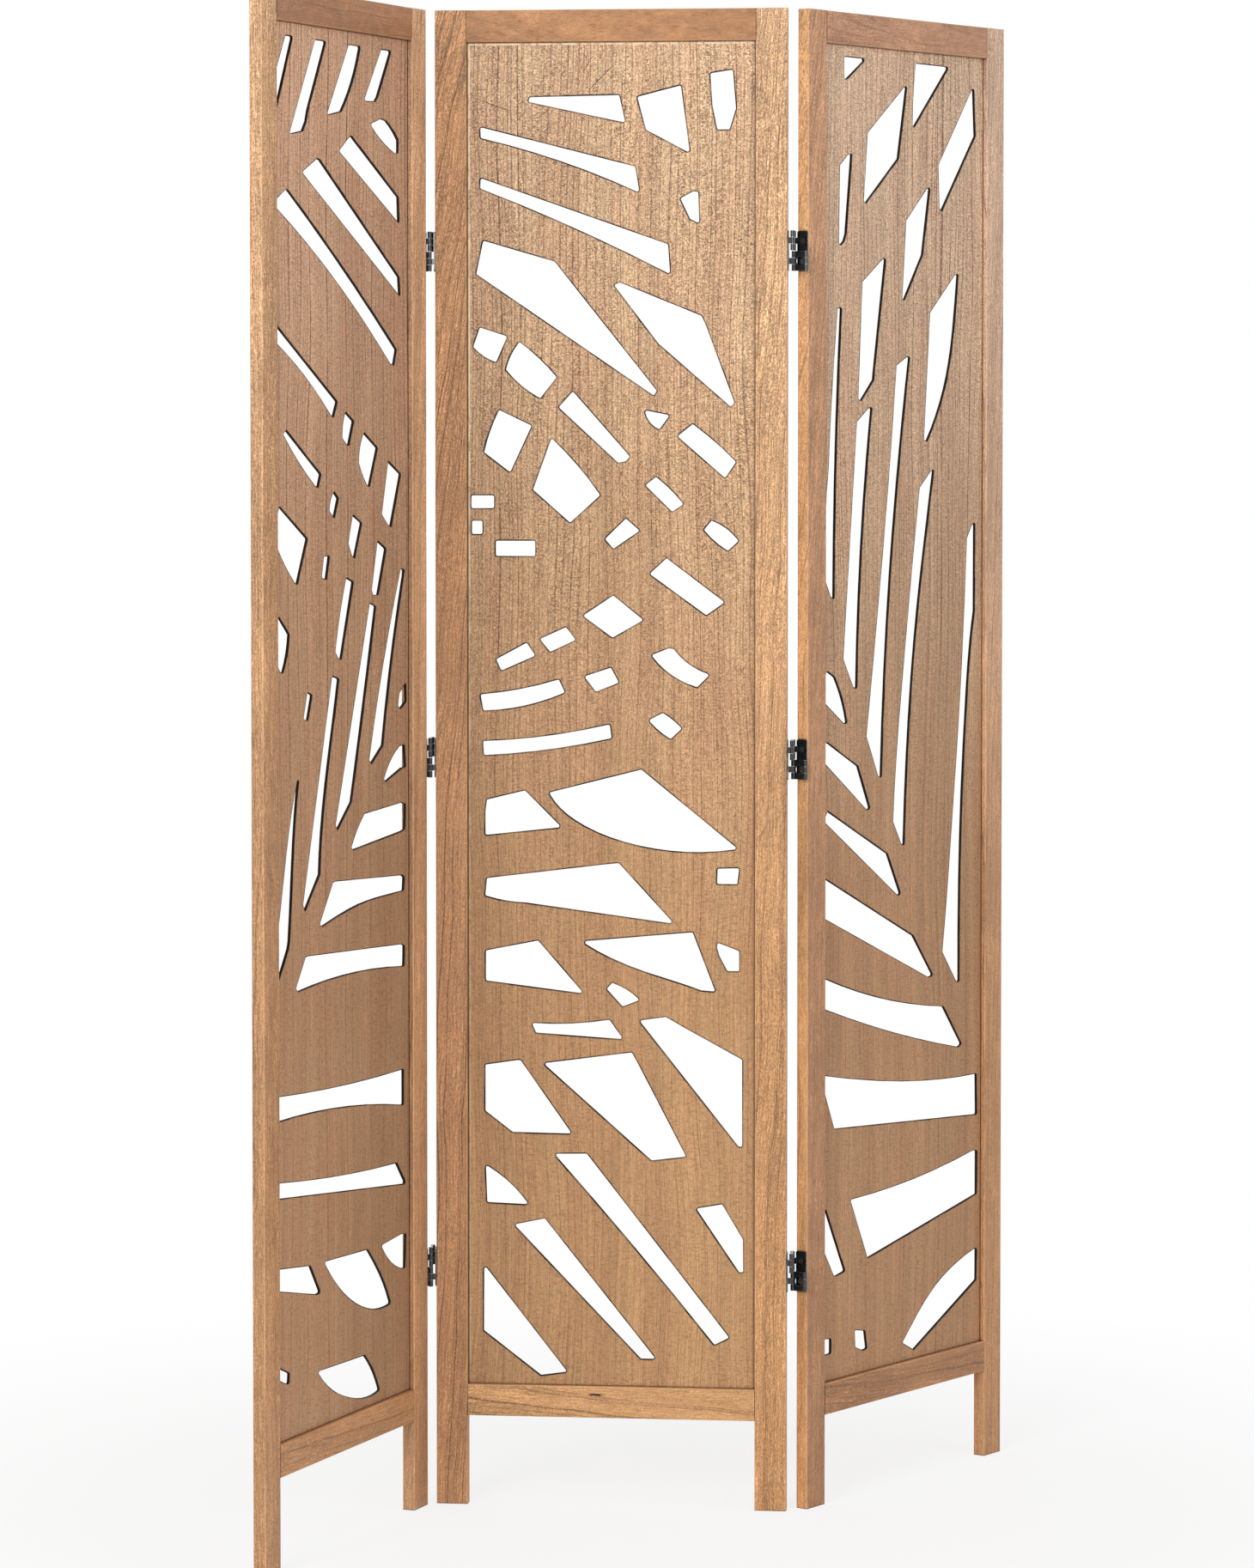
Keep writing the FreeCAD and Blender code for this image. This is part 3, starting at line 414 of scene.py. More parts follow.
class Graph:
    """A tree of shader nodes that is built up."""

    def __init__(self, tree):
        self.tree = tree
        self.tree.nodes.clear()

    def fill(self, socket, value):
        """Gives an input a number or a vector, or links another node's output to it."""
        if isinstance(value, bpy.types.NodeSocket):
            self.tree.links.new(value, socket)
        else:
            socket.default_value = value

    def add(self, kind, inputs, **settings):
        """Adds a node with those inputs and settings."""
        node = self.tree.nodes.new("ShaderNode" + kind)
        for name, value in settings.items():
            setattr(node, name, value)
        for socket, value in inputs.items():
            self.fill(node.inputs[socket], value)
        return node

    def math(self, operation, first, second=0.0):
        return self.add("Math", {0: first, 1: second}, operation=operation).outputs[0]

    def plus(self, first, second):
        return self.math("ADD", first, second)

    def minus(self, first, second):
        return self.math("SUBTRACT", first, second)

    def times(self, first, second):
        return self.math("MULTIPLY", first, second)

    def vector(self, operation, first, second=(0.0, 0.0, 0.0)):
        return self.add("VectorMath", {0: first, 1: second}, operation=operation).outputs[0]

    def measure(self, operation, first, second=(0.0, 0.0, 0.0)):
        """The number that an operation on vectors gives."""
        return self.add("VectorMath", {0: first, 1: second}, operation=operation).outputs["Value"]

    def scaled(self, value, scale):
        """A colour or a place times a number."""
        return self.add("VectorMath", {0: value, "Scale": scale}, operation="SCALE").outputs[0]

    def parts(self, value):
        """The X, Y and Z of a vector."""
        return self.add("SeparateXYZ", {"Vector": value}).outputs

    def span(self, value, low, high, start=0.0, end=1.0):
        """Start where value is low or less, end where it is high or more, and smooth between."""
        inputs = {"Value": value, "From Min": low, "From Max": high, "To Min": start, "To Max": end}
        return self.add("MapRange", inputs, interpolation_type="SMOOTHSTEP").outputs["Result"]

    def graded(self, share, start, end):
        """Start where share is nought, end where it is one, and smooth between."""
        return self.span(share, 0.0, 1.0, start, end)

    def noise(self, place, size, detail=2.0, roughness=0.5, distortion=0.0):
        """A random value, mostly between a quarter and three quarters, in patches of that size."""
        inputs = {"Vector": self.vector("DIVIDE", place, size), "Scale": 1.0, "Detail": detail}
        inputs.update({"Roughness": roughness, "Distortion": distortion})
        return self.add("TexNoise", inputs).outputs["Fac"]

    def patches(self, place, size, edges, ends=(0.0, 1.0), **look):
        """Soft-edged patches of that size: the first end where noise is under both edges, the second over."""
        return self.span(self.noise(place, size, **look), *edges, *ends)

    def stray(self, place, size, reach, detail=2.0):
        """A length that strays either way over patches of that size, by at most half of reach."""
        return self.times(self.minus(self.noise(place, size, detail), 0.5), reach)

    def line_noise(self, value, detail=2.0, roughness=0.5):
        """Noise along one number, in patches of one."""
        inputs = {"W": value, "Scale": 1.0, "Detail": detail, "Roughness": roughness}
        return self.add("TexNoise", inputs, noise_dimensions="1D").outputs["Fac"]

    def mix(self, share, first, second, blend="MIX"):
        """Colours mixed by share, of nought to one."""
        node = self.add("Mix", {}, data_type="RGBA", blend_type=blend, clamp_factor=True)
        sockets = {socket.identifier: socket for socket in (*node.inputs, *node.outputs)}
        self.fill(sockets["Factor_Float"], share)
        self.fill(sockets["A_Color"], first)
        self.fill(sockets["B_Color"], second)
        return sockets["Result_Color"]

    def tone(self, colour, value, strength):
        """Colour made darker or lighter by as much as value is under or over a half, times strength."""
        return self.scaled(colour, self.plus(self.times(self.minus(value, 0.5), strength), 1.0))


class Finish(Graph):
    """A material that is built up from shader nodes."""

    def __init__(self, name):
        self.material = bpy.data.materials.new(name)
        self.material.use_nodes = True
        super().__init__(self.material.node_tree)
        source = self.add("TexCoord", {}).outputs
        self.place = source["Object"]
        self.normal = source["Normal"]

    def surface(self, inputs, height, depth):
        """Ends the material with its shader, over a relief of that depth in metres."""
        shader = self.add("BsdfPrincipled", inputs)
        bump = self.add("Bump", {"Strength": 1.0, "Distance": depth, "Height": height})
        self.fill(shader.inputs["Normal"], bump.outputs["Normal"])
        self.add("OutputMaterial", {"Surface": shader.outputs["BSDF"]})
        return self.material


def unfolding(leaf):
    """(hinge line's place, turn about it) that lays a leaf flat beside the centre leaf."""
    if leaf not in FOLDS:
        return Vector((0.0, 0.0, 0.0)), 0.0
    joint = FOLDS[leaf]
    return Vector(joint["pos_m"]), math.radians(joint["range_deg"][0])


def box_of(node):
    """The two opposite corners of a node's box."""
    return [Vector(corner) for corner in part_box(node)]


def board_length(node):
    """The length of a stile or rail along its grain."""
    low, high = box_of(node)
    return max((high - low).z, (high - low).xy.length)


def middle(node, leaf):
    """The middle of a node with its leaf laid flat."""
    low, high = box_of(node)
    place, turn = unfolding(leaf)
    return place + Matrix.Rotation(turn, 3, "Z") @ ((low + high) / 2 - place)


def flat_place(finish, leaf, node):
    """Place on a leaf that is laid flat, from the node's middle: X across, Y through, Z up."""
    place, turn = unfolding(leaf)
    inputs = {"Vector": finish.place, "Center": place, "Angle": turn}
    flat = finish.add("VectorRotate", inputs, rotation_type="Z_AXIS").outputs[0]
    return finish.vector("SUBTRACT", flat, middle(node, leaf))


def flat_normal(finish, leaf):
    """The surface's direction on a leaf that is laid flat."""
    inputs = {"Vector": finish.normal, "Angle": unfolding(leaf)[1]}
    return finish.add("VectorRotate", inputs, rotation_type="Z_AXIS").outputs[0]


def turned_aside(finish, facing):
    """One on narrow sides and cut walls, from how far a surface faces along a flat leaf's Y."""
    return finish.span(finish.math("ABSOLUTE", facing), 0.3, 0.7, 1.0, 0.0)


def pore_line(finish, ring, fade):
    """One on the line of pores in each ring, fading to nought beside it."""
    apart = finish.math("ABSOLUTE", finish.minus(finish.math("FRACT", ring), 0.5))
    return finish.span(apart, *fade, 1.0, 0.0)


def growth(finish, ring, grain, settings, weakest):
    """The figure of ring-porous wood from its ring number and its place along the grain.

    weakest is the strength of the faintest line. Returns the dotted lines of early wood, the scattered pores,
    the fine ticks between them, the pale flecks and the wide bands.
    """
    pore = (settings.pore_width, settings.pore_width, settings.pore_length)

    def scattered(shares, edges, **look):
        size = tuple(length * share for length, share in zip(pore, shares))
        return finish.patches(grain, size, edges, **look)

    change = finish.line_noise(finish.times(ring, LINE_CHANGE_RATE), detail=0.0)
    lines = finish.times(pore_line(finish, ring, LINE_FADE), finish.span(change, 0.34, 0.64, weakest, 1.0))
    faint_ring = finish.times(ring, FAINT_LINE_RATE)
    change = finish.line_noise(finish.times(ring, FAINT_CHANGE_RATE), detail=0.0)
    faint = finish.span(change, 0.40, 0.66, 0.0, 0.60)
    faint = finish.times(pore_line(finish, faint_ring, FAINT_LINE_FADE), faint)
    lines = finish.math("MAXIMUM", lines, faint)
    lines = finish.times(lines, scattered(DOT_SHARES, (0.36, 0.56), ends=(0.45, 1.0), detail=1.0))
    lines = finish.times(lines, scattered(BREAK_SHARES, (0.30, 0.50), ends=(0.45, 1.0), detail=1.0))
    pores = scattered(PORE_SHARES, (0.60, 0.72))
    ticks = scattered(TICK_SHARES, (0.36, 0.64), detail=1.0, roughness=0.6)
    flecks = scattered(FLECK_SHARES, (0.55, 0.72), detail=1.0)
    bands = finish.line_noise(finish.times(ring, BAND_RATE), detail=3.0, roughness=0.65)
    return lines, pores, ticks, flecks, bands


def fibre_streaks(finish, grain, settings):
    """Noise in long thin streaks along the grain."""
    size = (settings.fibre_width, settings.fibre_width, settings.fibre_length)
    return finish.noise(grain, size, detail=3.0, roughness=0.7)


def crack_line(finish, crack, place):
    """One in the crack, less at its ends, and nought beside it. place is from its node's middle."""
    base = Vector((0.0, 0.0, middle(crack.node, "centre_panel").z))
    start = Vector((crack.start[0], 0.0, crack.start[1])) - base
    run = Vector((crack.end[0], 0.0, crack.end[1])) - base - start
    offset = finish.vector("SUBTRACT", place, start)
    share = finish.measure("DOT_PRODUCT", offset, run / run.length_squared)
    share = finish.add("Clamp", {"Value": share}).outputs["Result"]
    apart = finish.measure("LENGTH", finish.vector("SUBTRACT", offset, finish.scaled(run, share)))
    line = finish.span(apart, 0.3 * crack.width, 0.8 * crack.width, 1.0, 0.0)
    from_middle = finish.math("ABSOLUTE", finish.minus(share, 0.5))
    return finish.times(line, finish.span(from_middle, 0.3, 0.5, 1.0, 0.45))


def with_cracks(finish, node, place, colour, dark, strength):
    """Colour with the node's cracks in it, dark and of that strength. place is from its middle."""
    cracks = [crack for crack in CRACKS if crack.node == node]
    if not cracks:
        return colour
    stray = finish.stray(place, CRACK_PATCHES, CRACK_STRAY, detail=1.0)
    place = finish.vector("MULTIPLY", place, (1.0, 0.0, 1.0))
    place = finish.vector("ADD", place, finish.add("CombineXYZ", {"Z": stray}).outputs[0])
    lines = [crack_line(finish, crack, place) for crack in cracks]
    cracked = lines[0]
    for line in lines[1:]:
        cracked = finish.math("MAXIMUM", cracked, line)
    return finish.mix(finish.times(cracked, strength), colour, linear(dark))


def with_corner_shade(finish, colour, settings):
    """Colour with the wax and dust that darken an inside corner, where another piece stands near."""
    clear = finish.add("AmbientOcclusion", {"Distance": settings.corner_shade_width}, samples=6).outputs["AO"]
    return finish.mix(finish.span(clear, 0.55, 0.84, CORNER_SHADE, 0.0), colour, linear(settings.shade_and_crack_colour))


def varnish_roughness(finish, fibres, polish):
    """The varnish's roughness, a little uneven along the fibres."""
    return finish.span(fibres, 0.2, 0.8, *(polish + change for change in VARNISH_SPREAD))


def varnished(finish, colour, roughness, ticks, pores, depth):
    """Ends a wood's material with its varnish, in which open pores are that deep."""
    inputs = {"Base Color": colour, "Roughness": roughness, "Specular IOR Level": VARNISH_GLOSS}
    return finish.surface(inputs, finish.minus(finish.times(ticks, TICK_RELIEF_SHARE), pores), depth)


def along_grain(finish, board, value):
    """A flat leaf's place or direction, turned so that the board's grain runs along Z."""
    if board.along == "Z":
        return value
    inputs = {"Vector": value, "Angle": math.radians(90)}
    return finish.add("VectorRotate", inputs, rotation_type="Y_AXIS").outputs[0]


def sawn_from_log(finish, place, length, board, settings, seed):
    """(number of the growth ring, place along the grain) at a place in a board of that length."""
    step = tuple(seed * part for part in TIMBER_STEP)
    inputs = {"Vector": place, "Rotation": (math.radians(board.tilt), math.radians(board.slope), 0.0)}
    log = finish.add("VectorRotate", inputs, rotation_type="EULER_XYZ").outputs[0]
    sway = finish.stray(finish.vector("ADD", place, step), TIMBER_WANDER, settings.sway)
    across, through, up = finish.parts(log)
    upper = finish.math("MAXIMUM", finish.plus(up, BOW_START_SHARE * length), 0.0)
    bow = finish.times(finish.times(upper, upper), board.bow)
    across = finish.minus(finish.plus(across, sway), board.pith[0])
    through = finish.minus(through, board.pith[1])
    squares = finish.plus(finish.times(across, across), finish.times(through, through))
    outward = math.copysign(1.0, -board.pith[0])
    radius = finish.minus(finish.math("SQRT", squares), finish.times(bow, outward))
    ring = finish.plus(finish.math("DIVIDE", radius, board.ring), RING_STEP * seed)
    drift = finish.add("CombineXYZ", {"X": finish.minus(sway, bow)}).outputs[0]
    return ring, finish.vector("ADD", finish.vector("ADD", log, drift), step)


def timber(node, board, settings, seed):
    """Varnished solid timber with growth rings, fibres, pores, rubbed edges and darker ends."""
    finish = Finish(node + "_timber")
    flat = flat_place(finish, board.leaf, node)
    place = along_grain(finish, board, flat)
    length = board_length(node)
    ring, grain = sawn_from_log(finish, place, length, board, settings, seed)
    lines, pores, ticks, flecks, bands = growth(finish, ring, grain, settings, WEAKEST_TIMBER_LINE)
    fibres = fibre_streaks(finish, grain, settings)
    clouds = finish.noise(grain, TIMBER_CLOUDS)
    swirl = finish.noise(grain, TIMBER_SWIRL, distortion=1.2)

    high = finish.span(finish.parts(place)["Z"], *(length * share for share in BOARD_CHANGE_SHARES))
    colour = finish.mix(high, linear(gamma(*board.low_colour)), linear(gamma(*board.high_colour)))
    colour = finish.tone(colour, bands, TIMBER_TONES["bands"])
    colour = finish.tone(colour, clouds, TIMBER_TONES["clouds"])
    colour = finish.tone(colour, swirl, TIMBER_TONES["swirl"] * (1.0 - board.figure))
    fleck = finish.graded(high, *(board.fleck * gain for gain in TIMBER_FLECK_GAIN))
    for figure, name in ((fibres, "fibres"), (ticks, "ticks"), (flecks, "flecks")):
        colour = finish.tone(colour, figure, finish.times(fleck, TIMBER_TONES[name]))
    pore_colour = linear(settings.pore_colour)
    colour = finish.mix(finish.times(lines, settings.line_depth * board.figure), colour, pore_colour)
    colour = finish.mix(finish.times(pores, TIMBER_PORES), colour, pore_colour)

    facing = finish.parts(along_grain(finish, board, flat_normal(finish, board.leaf)))
    # Painted light and shade: the narrow sides are made darker or lighter by the board's side factors.
    side = finish.mix(turned_aside(finish, facing["Y"]), WHITE, (*board.side, 1.0))
    colour = finish.vector("MULTIPLY", colour, side)
    colour = with_cracks(finish, node, flat, colour, settings.shade_and_crack_colour, TIMBER_CRACKS)
    # A painted highlight on the rounded edges, in patches that follow the clouds.
    arris = finish.math("ABSOLUTE", finish.times(facing["X"], facing["Y"]))
    arris_highlight = finish.span(arris, 0.12, 0.46, 0.0, settings.arris_highlight_share)
    arris_highlight = finish.times(arris_highlight, finish.span(clouds, 0.35, 0.60, 0.3, 1.0))
    colour = finish.mix(arris_highlight, colour, linear(settings.arris_highlight_colour))
    sawn = finish.span(finish.math("ABSOLUTE", facing["Z"]), 0.6, 0.9, 0.0, SAWN_END)
    colour = finish.mix(sawn, colour, linear(settings.end_colour))
    # Painted shade in the inside corners.
    colour = with_corner_shade(finish, colour, settings)
    roughness = varnish_roughness(finish, fibres, settings.polish)
    return varnished(finish, colour, roughness, ticks, pores, TIMBER_DEPTH)


def edge_line(finish, distance, width):
    """One on a line of that width that lies half a width from an edge, from the distance to the edge."""
    near = finish.span(distance, 0.3 * width, 0.8 * width)
    return finish.times(near, finish.span(distance, 1.2 * width, 2.0 * width, 1.0, 0.0))


def with_frame_edges(finish, node, sheet, settings, place, seeded, top, colour):
    """Colour with a pale line of glue at the frame's left and upper edge and a shade at its right edge."""
    top_rail = sheet.leaf.replace("_panel", "_top_rail")
    half_opening = board_length(top_rail) / 2
    upper_edge = box_of(top_rail)[0].z - middle(node, sheet.leaf).z
    across, _, up = finish.parts(place)
    # A pale painted highlight along the left and upper edge, in patches.
    left_line = edge_line(finish, finish.plus(across, half_opening), settings.highlight_width)
    top_line = edge_line(finish, finish.minus(upper_edge, up), settings.highlight_width)
    glue = finish.math("MAXIMUM", left_line, top_line)
    glue = finish.times(glue, finish.patches(seeded, HIGHLIGHT_PATCHES, (0.36, 0.56), (0.3, 1.0), detail=1.0))
    glue = finish.times(glue, finish.graded(top, *(sheet.glue * share for share in VENEER_HIGHLIGHT)))
    colour = finish.mix(glue, colour, linear(settings.highlight_colour))
    # A painted shadow that the right stile casts on the sheet's edge.
    width = settings.shade_width
    shade = finish.span(finish.minus(half_opening, across), 0.3 * width, width, SHADED_EDGE, 0.0)
    return finish.mix(shade, colour, linear(settings.shade_and_crack_colour))


def burnt_edges(finish, sheet, settings, seeded):
    """One on the walls of the cut-outs, and unevenly so on the scorched line around them."""
    facing = finish.parts(flat_normal(finish, sheet.leaf))["Y"]
    reach = {"Distance": settings.char_width * sheet.scorch}
    inward = finish.add("AmbientOcclusion", reach, samples=8, inside=True, only_local=True).outputs["AO"]
    uneven = finish.patches(seeded, BURN_PATCHES, (0.36, 0.58), (0.62, 1.0), detail=1.0)
    scorched = finish.times(finish.span(inward, 0.86, 0.95, 1.0, 0.0), uneven)
    return finish.math("MAXIMUM", turned_aside(finish, facing), scorched)


def veneer(node, sheet, settings, seed):
    """Ribbon-figured veneer with lines of pores, a cross ripple, burnt cut walls and scorched cut edges."""
    finish = Finish(node + "_veneer")
    place = flat_place(finish, sheet.leaf, node)
    seeded = finish.vector("ADD", place, tuple(seed * part for part in VENEER_STEP))
    sway = finish.stray(seeded, VENEER_WANDER, settings.sway, detail=1.5)
    grain = finish.vector("ADD", seeded, finish.add("CombineXYZ", {"X": sway}).outputs[0])
    across = finish.parts(grain)["X"]
    uneven = finish.line_noise(finish.math("DIVIDE", across, settings.ring_width * UNEVEN_RINGS), detail=1.0)
    ring = finish.math("DIVIDE", across, settings.ring_width)
    ring = finish.plus(ring, finish.times(uneven, UNEVEN_SHIFT))
    lines, pores, ticks, flecks, bands = growth(finish, ring, grain, settings, WEAKEST_VENEER_LINE)
    fibres = fibre_streaks(finish, grain, settings)
    clouds = finish.noise(grain, VENEER_CLOUDS)
    combed = finish.patches(grain, VENEER_COMB, (0.40, 0.62), (0.60, 1.0), detail=1.0)
    ripple_size = (settings.ripple_height * 3, settings.ripple_height * 3, settings.ripple_height)
    ripple = finish.times(finish.patches(grain, ripple_size, (0.50, 0.66), detail=1.0), combed)
    curl_size = (settings.curl_width, settings.curl_width, settings.curl_height)
    curl = finish.math("ABSOLUTE", finish.minus(finish.noise(grain, curl_size, detail=1.0), 0.5))
    curl = finish.times(finish.span(curl, 0.012, 0.070, 1.0, 0.0), combed)

    low, high = box_of(node)
    half_width, half_height = (high - low).xy.length / 2, (high - low).z / 2
    sides = finish.parts(place)
    rise = finish.plus(sides["Z"], finish.times(clouds, SHEET_CLOUD_PUSH))
    top = finish.span(rise, *(half_height * share for share in SHEET_CHANGE_SHARES))
    figured = finish.span(rise, *(half_height * share for share in SHEET_FIGURE_SHARES))
    colour = finish.mix(top, linear(gamma(*sheet.low_colour)), linear(gamma(*sheet.high_colour)))
    gain = finish.span(sides["X"], -half_width, half_width, 1.0 - sheet.gain, 1.0 + sheet.gain)
    colour = finish.scaled(colour, gain)
    rosy = finish.patches(grain, VENEER_ROSE, (0.42, 0.62))
    colour = finish.mix(rosy, colour, linear(settings.rosy_colour), blend="MULTIPLY")
    for figure, name in ((fibres, "fibres"), (bands, "bands"), (clouds, "clouds")):
        colour = finish.tone(colour, figure, VENEER_TONES[name])
    for figure, strengths in ((ticks, VENEER_TICKS), (flecks, VENEER_FLECKS)):
        colour = finish.tone(colour, figure, finish.graded(figured, *strengths))
    vein = linear(settings.vein_colour)
    colour = finish.mix(finish.times(ripple, VENEER_RIPPLE), colour, vein)
    curl_share = finish.graded(figured, *(sheet.curl * share for share in VENEER_CURL))
    colour = finish.mix(finish.times(curl, curl_share), colour, vein)
    vein_share = finish.graded(figured, *(settings.line_depth * share for share in VENEER_VEINS))
    colour = finish.mix(finish.times(lines, vein_share), colour, vein)
    colour = finish.mix(finish.times(pores, finish.times(vein_share, VENEER_PORES)), colour, vein)

    colour = with_cracks(finish, node, place, colour, settings.shade_and_crack_colour, VENEER_CRACKS)
    # A painted highlight along the frame's left and upper edge, and a painted shadow beside its right stile.
    colour = with_frame_edges(finish, node, sheet, settings, place, seeded, top, colour)
    # Painted shade in the inside corners.
    colour = with_corner_shade(finish, colour, settings)
    burnt = burnt_edges(finish, sheet, settings, seeded)
    colour = finish.mix(burnt, colour, linear(settings.char_colour))
    roughness = varnish_roughness(finish, fibres, settings.polish)
    roughness = finish.math("MAXIMUM", roughness, finish.times(burnt, 0.95))
    return varnished(finish, colour, roughness, ticks, pores, VENEER_DEPTH)


def edge_wear(finish, width):
    """One along the sharp edges of a metal piece and nought on its faces."""
    rounded = finish.add("Bevel", {"Radius": width}, samples=6).outputs["Normal"]
    true = finish.add("NewGeometry", {}).outputs["Normal"]
    return finish.span(finish.measure("DOT_PRODUCT", rounded, true), 0.80, 0.97, 1.0, 0.0)


def lacquered_steel(settings):
    """Stoved black lacquer with a slight skin texture and bright steel where its edges are worn."""
    finish = Finish("hinge_lacquer")
    skin = finish.noise(finish.place, LACQUER_SKIN)
    patches = finish.noise(finish.place, LACQUER_PATCHES)
    worn = finish.times(edge_wear(finish, settings.worn_width), finish.span(patches, 0.40, 0.56, 0.15, 0.95))
    black = finish.mix(skin, linear(settings.lacquer_colour), linear(settings.skin_colour))
    colour = finish.mix(worn, black, linear(settings.worn_colour))
    smooth = settings.lacquer_roughness
    roughness = finish.span(patches, 0.3, 0.7, smooth - 0.06, smooth + 0.10)
    gloss = {"Specular IOR Level": 0.25, "Coat Weight": 1.0, "Coat Roughness": 0.09, "Coat IOR": 1.55}
    inputs = {"Base Color": colour, "Metallic": worn, "Roughness": roughness, **gloss}
    return finish.surface(inputs, skin, LACQUER_DEPTH)


def plated_steel(settings):
    """Bright plated steel, turned, with fine rings round each pin."""
    finish = Finish("pin_steel")
    rings = finish.noise(finish.place, PIN_RINGS, detail=1.0)
    haze = finish.noise(finish.place, PIN_HAZE)
    hazy = finish.span(haze, 0.35, 0.75)
    colour = finish.mix(hazy, linear(settings.steel_colour), linear(settings.haze_colour))
    roughness = finish.span(haze, 0.3, 0.7, 0.22, 0.38)
    inputs = {"Base Color": colour, "Metallic": 1.0, "Roughness": roughness}
    return finish.surface(inputs, rings, METAL_DEPTH)


def blackened_steel(settings):
    """Blackened screws, brighter where a driver has rubbed the edges of the recess."""
    finish = Finish("screw_black")
    grain = finish.noise(finish.place, SCREW_GRAIN)
    worn = finish.times(edge_wear(finish, settings.worn_width / 2), 0.7)
    black = finish.mix(grain, linear(settings.screw_colour), linear(settings.screw_grain_colour))
    colour = finish.mix(worn, black, linear(settings.worn_colour))
    roughness = finish.span(grain, 0.3, 0.7, 0.30, 0.46)
    inputs = {"Base Color": colour, "Metallic": 0.9, "Roughness": roughness}
    return finish.surface(inputs, grain, METAL_DEPTH)


def beech(settings):
    """Plain beech for the dowels, with its short dark flecks."""
    finish = Finish("dowel_beech")
    fibres = finish.noise(finish.place, BEECH_FIBRES)
    flecks = finish.patches(finish.place, BEECH_FLECKS, (0.66, 0.74), detail=0.0)
    colour = finish.tone(linear(settings.beech_colour)[:3], fibres, 0.4)
    colour = finish.mix(finish.times(flecks, 0.5), colour, linear(settings.beech_fleck_colour))
    roughness = finish.span(fibres, 0.2, 0.8, 0.60, 0.75)
    return finish.surface({"Base Color": colour, "Roughness": roughness}, fibres, BEECH_DEPTH)


def dress(nodes, material):
    """Gives the nodes one material in all their slots."""
    for name in nodes:
        for slot in frame["nodes"][name].material_slots:
            slot.material = material


def named(*endings):
    """The frame's nodes whose names end so, in order, or an error where there are none."""
    found = sorted(name for name in frame["nodes"] if name.endswith(endings))
    if not found:
        raise RuntimeError("no node is named like " + " or ".join(endings))
    return found


class SCREEN_OT_timber(Operator):
    """Varnishes the stiles and rails of the three leaves"""

    bl_idname = "screen.timber"
    bl_label = "Timber frames"

    def execute(self, context):
        for seed, node in enumerate(named("_stile", "_rail"), start=1):
            dress([node], timber(node, BOARDS[node], context.scene.screen_timber, seed))
        return {"FINISHED"}


class SCREEN_OT_fretwork(Operator):
    """Veneers the pierced sheets and chars their cut-outs"""

    bl_idname = "screen.fretwork"
    bl_label = "Pierced sheets"

    def execute(self, context):
        for seed, node in enumerate(named("_fretwork"), start=1):
            dress([node], veneer(node, SHEETS[node], context.scene.screen_veneer, seed))
        return {"FINISHED"}


class SCREEN_OT_dowels(Operator):
    """Gives the frame dowels their beech"""

    bl_idname = "screen.dowels"
    bl_label = "Dowels"

    def execute(self, context):
        dress(named("_dowels"), beech(context.scene.screen_hinges))
        return {"FINISHED"}


class SCREEN_OT_hinges(Operator):
    """Lacquers the hinge leaves and links"""

    bl_idname = "screen.hinges"
    bl_label = "Hinge leaves and links"

    def execute(self, context):
        dress(named("_leaves", "_links"), lacquered_steel(context.scene.screen_hinges))
        return {"FINISHED"}


class SCREEN_OT_pins(Operator):
    """Plates the hinge pins"""

    bl_idname = "screen.pins"
    bl_label = "Hinge pins"

    def execute(self, context):
        dress(named("_pins"), plated_steel(context.scene.screen_hinges))
        return {"FINISHED"}


class SCREEN_OT_screws(Operator):
    """Blackens the hinge screws"""

    bl_idname = "screen.screws"
    bl_label = "Hinge screws"

    def execute(self, context):
        dress(named("_screws"), blackened_steel(context.scene.screen_hinges))
        return {"FINISHED"}


def soft_lamp(name, power, size, place, target):
    """A large soft lamp at place that shines at target. size is its width and height."""
    data = bpy.data.lights.new(name, "AREA")
    data.shape = "RECTANGLE"
    data.size, data.size_y = size
    data.energy = power
    lamp = bpy.data.objects.new(name, data)
    lamp.location = place
    lamp.rotation_euler = (Vector(target) - Vector(place)).to_track_quat("-Z", "Y").to_euler()
    bpy.context.collection.objects.link(lamp)


def seen_directly(graph):
    """One for what the camera, a reflection or glass sees, and nought for what only lights the object."""
    paths = graph.add("LightPath", {}).outputs
    seen = graph.math("MAXIMUM", paths["Is Camera Ray"], paths["Is Glossy Ray"])
    return graph.math("MAXIMUM", seen, paths["Is Transmission Ray"])


def floor_material(settings):
    """A pale floor that keeps the screen's shadow and fades into the plain background away from its feet."""
    finish = Finish("studio_floor")
    inputs = {"Base Color": linear(settings.floor_colour), "Roughness": 0.9, "Specular IOR Level": 0.1}
    shader = finish.add("BsdfPrincipled", inputs).outputs["BSDF"]
    veil = finish.span(finish.measure("LENGTH", finish.place), *FLOOR_FADE, settings.floor_veil, 1.0)
    share = finish.times(seen_directly(finish), veil)
    glow = finish.add("Emission", {}).outputs["Emission"]
    blend = finish.add("MixShader", {"Fac": share, 1: shader, 2: glow}).outputs["Shader"]
    finish.add("OutputMaterial", {"Surface": blend})
    return finish.material


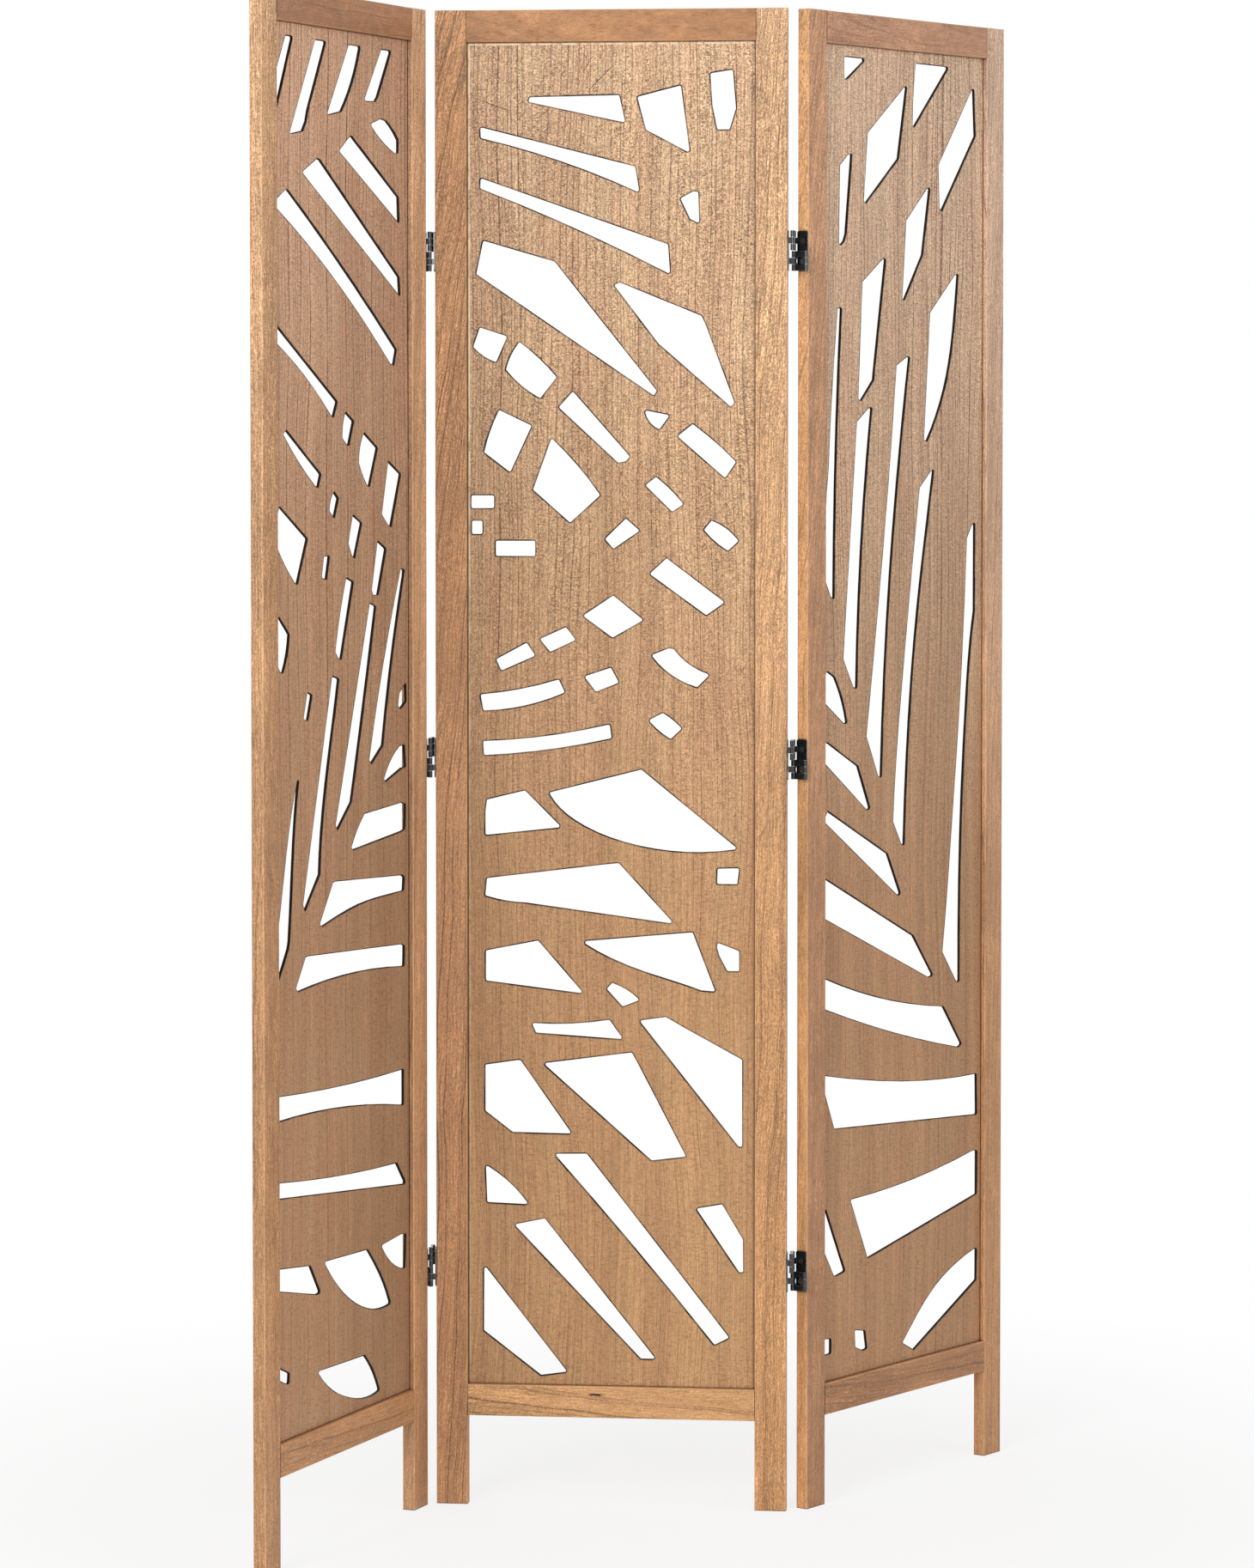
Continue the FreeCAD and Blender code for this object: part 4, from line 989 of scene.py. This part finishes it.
def lay_floor(settings, height):
    """Lays the floor at that height."""
    mesh = bpy.data.meshes.new("studio_floor")
    ends = ((-1, -1), (1, -1), (1, 1), (-1, 1))
    outline = [(x * FLOOR_REACH, y * FLOOR_REACH, height) for x, y in ends]
    mesh.from_pydata(outline, [], [(0, 1, 2, 3)])
    floor = bpy.data.objects.new("studio_floor", mesh)
    floor.data.materials.append(floor_material(settings))
    bpy.context.collection.objects.link(floor)
    floor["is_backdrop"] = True


def light_room(settings):
    """White where it is seen, and an even plain light where it lights the object."""
    world = bpy.data.worlds.new("studio_room")
    world.use_nodes = True
    graph = Graph(world.node_tree)
    inputs = {"Value": seen_directly(graph), "To Min": settings.room_light, "To Max": 1.0}
    strength = graph.add("MapRange", inputs).outputs["Result"]
    background = graph.add("Background", {"Color": WHITE, "Strength": strength}).outputs["Background"]
    graph.add("OutputWorld", {"Surface": background})
    bpy.context.scene.world = world


def set_up_camera(settings):
    """Stands the camera where the photograph was taken from."""
    lens = bpy.data.cameras.new("camera")
    lens.lens = settings.focal_length
    lens.sensor_width = SENSOR_MM
    lens.shift_y = settings.lens_shift
    lens.clip_end = CAMERA_REACH
    camera = bpy.data.objects.new("camera", lens)
    camera.location = settings.camera_place
    camera.rotation_euler = (math.radians(90) - settings.camera_dip, 0.0, settings.camera_turn)
    bpy.context.collection.objects.link(camera)
    bpy.context.scene.camera = camera


class SCREEN_OT_stage(Operator):
    """Lays the floor, hangs the lamps and sets up the camera"""

    bl_idname = "screen.stage"
    bl_label = "Floor, light and camera"

    def execute(self, context):
        settings = context.scene.screen_stage
        low, high = (Vector(corner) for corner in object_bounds())
        centre = (low + high) / 2
        aim = centre + Vector((0.0, 0.0, KEY_AIM))
        lay_floor(settings, low.z)
        light_room(settings)
        soft_lamp("key_lamp", settings.key_light, KEY_SIZE, KEY_PLACE, aim)
        soft_lamp("fill_lamp", settings.fill_light, FILL_SIZE, FILL_PLACE, centre)
        set_up_camera(settings)
        context.scene.view_settings.view_transform = "Standard"
        return {"FINISHED"}


class SCREEN_PT_finishes(Panel):
    """Lists the screen's settings and the steps that make it"""

    bl_idname = "SCREEN_PT_finishes"
    bl_label = "Folding screen"
    bl_space_type = "VIEW_3D"
    bl_region_type = "UI"
    bl_category = "Screen"

    def draw(self, context):
        for name, kind in GROUPS.items():
            column = self.layout.column(heading=kind.__doc__)
            settings = getattr(context.scene, name)
            for setting in kind.__annotations__:
                column.prop(settings, setting)
        for step in STEPS:
            self.layout.operator(step.bl_idname)


GROUPS = {
    "screen_timber": TimberSettings,
    "screen_veneer": VeneerSettings,
    "screen_hinges": HingeSettings,
    "screen_stage": StageSettings,
}

STEPS = (
    SCREEN_OT_timber,
    SCREEN_OT_fretwork,
    SCREEN_OT_dowels,
    SCREEN_OT_hinges,
    SCREEN_OT_pins,
    SCREEN_OT_screws,
    SCREEN_OT_stage,
)


def register():
    for kind in (*GROUPS.values(), *STEPS, SCREEN_PT_finishes):
        bpy.utils.register_class(kind)
    for name, kind in GROUPS.items():
        setattr(bpy.types.Scene, name, PointerProperty(type=kind))


def unregister():
    for name in GROUPS:
        delattr(bpy.types.Scene, name)
    for kind in (SCREEN_PT_finishes, *reversed(STEPS), *reversed(list(GROUPS.values()))):
        bpy.utils.unregister_class(kind)


def clear_start_objects():
    """Deletes the cube, lamp and camera that a new file opens with."""
    for name in ("Cube", "Light", "Camera"):
        start_object = bpy.data.objects.get(name)
        if start_object is not None:
            bpy.data.objects.remove(start_object)


def main():
    clear_start_objects()
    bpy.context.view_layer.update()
    register()
    for step in STEPS:
        group, action = step.bl_idname.split(".")
        getattr(getattr(bpy.ops, group), action)()


if __name__ == "__main__":
    main()
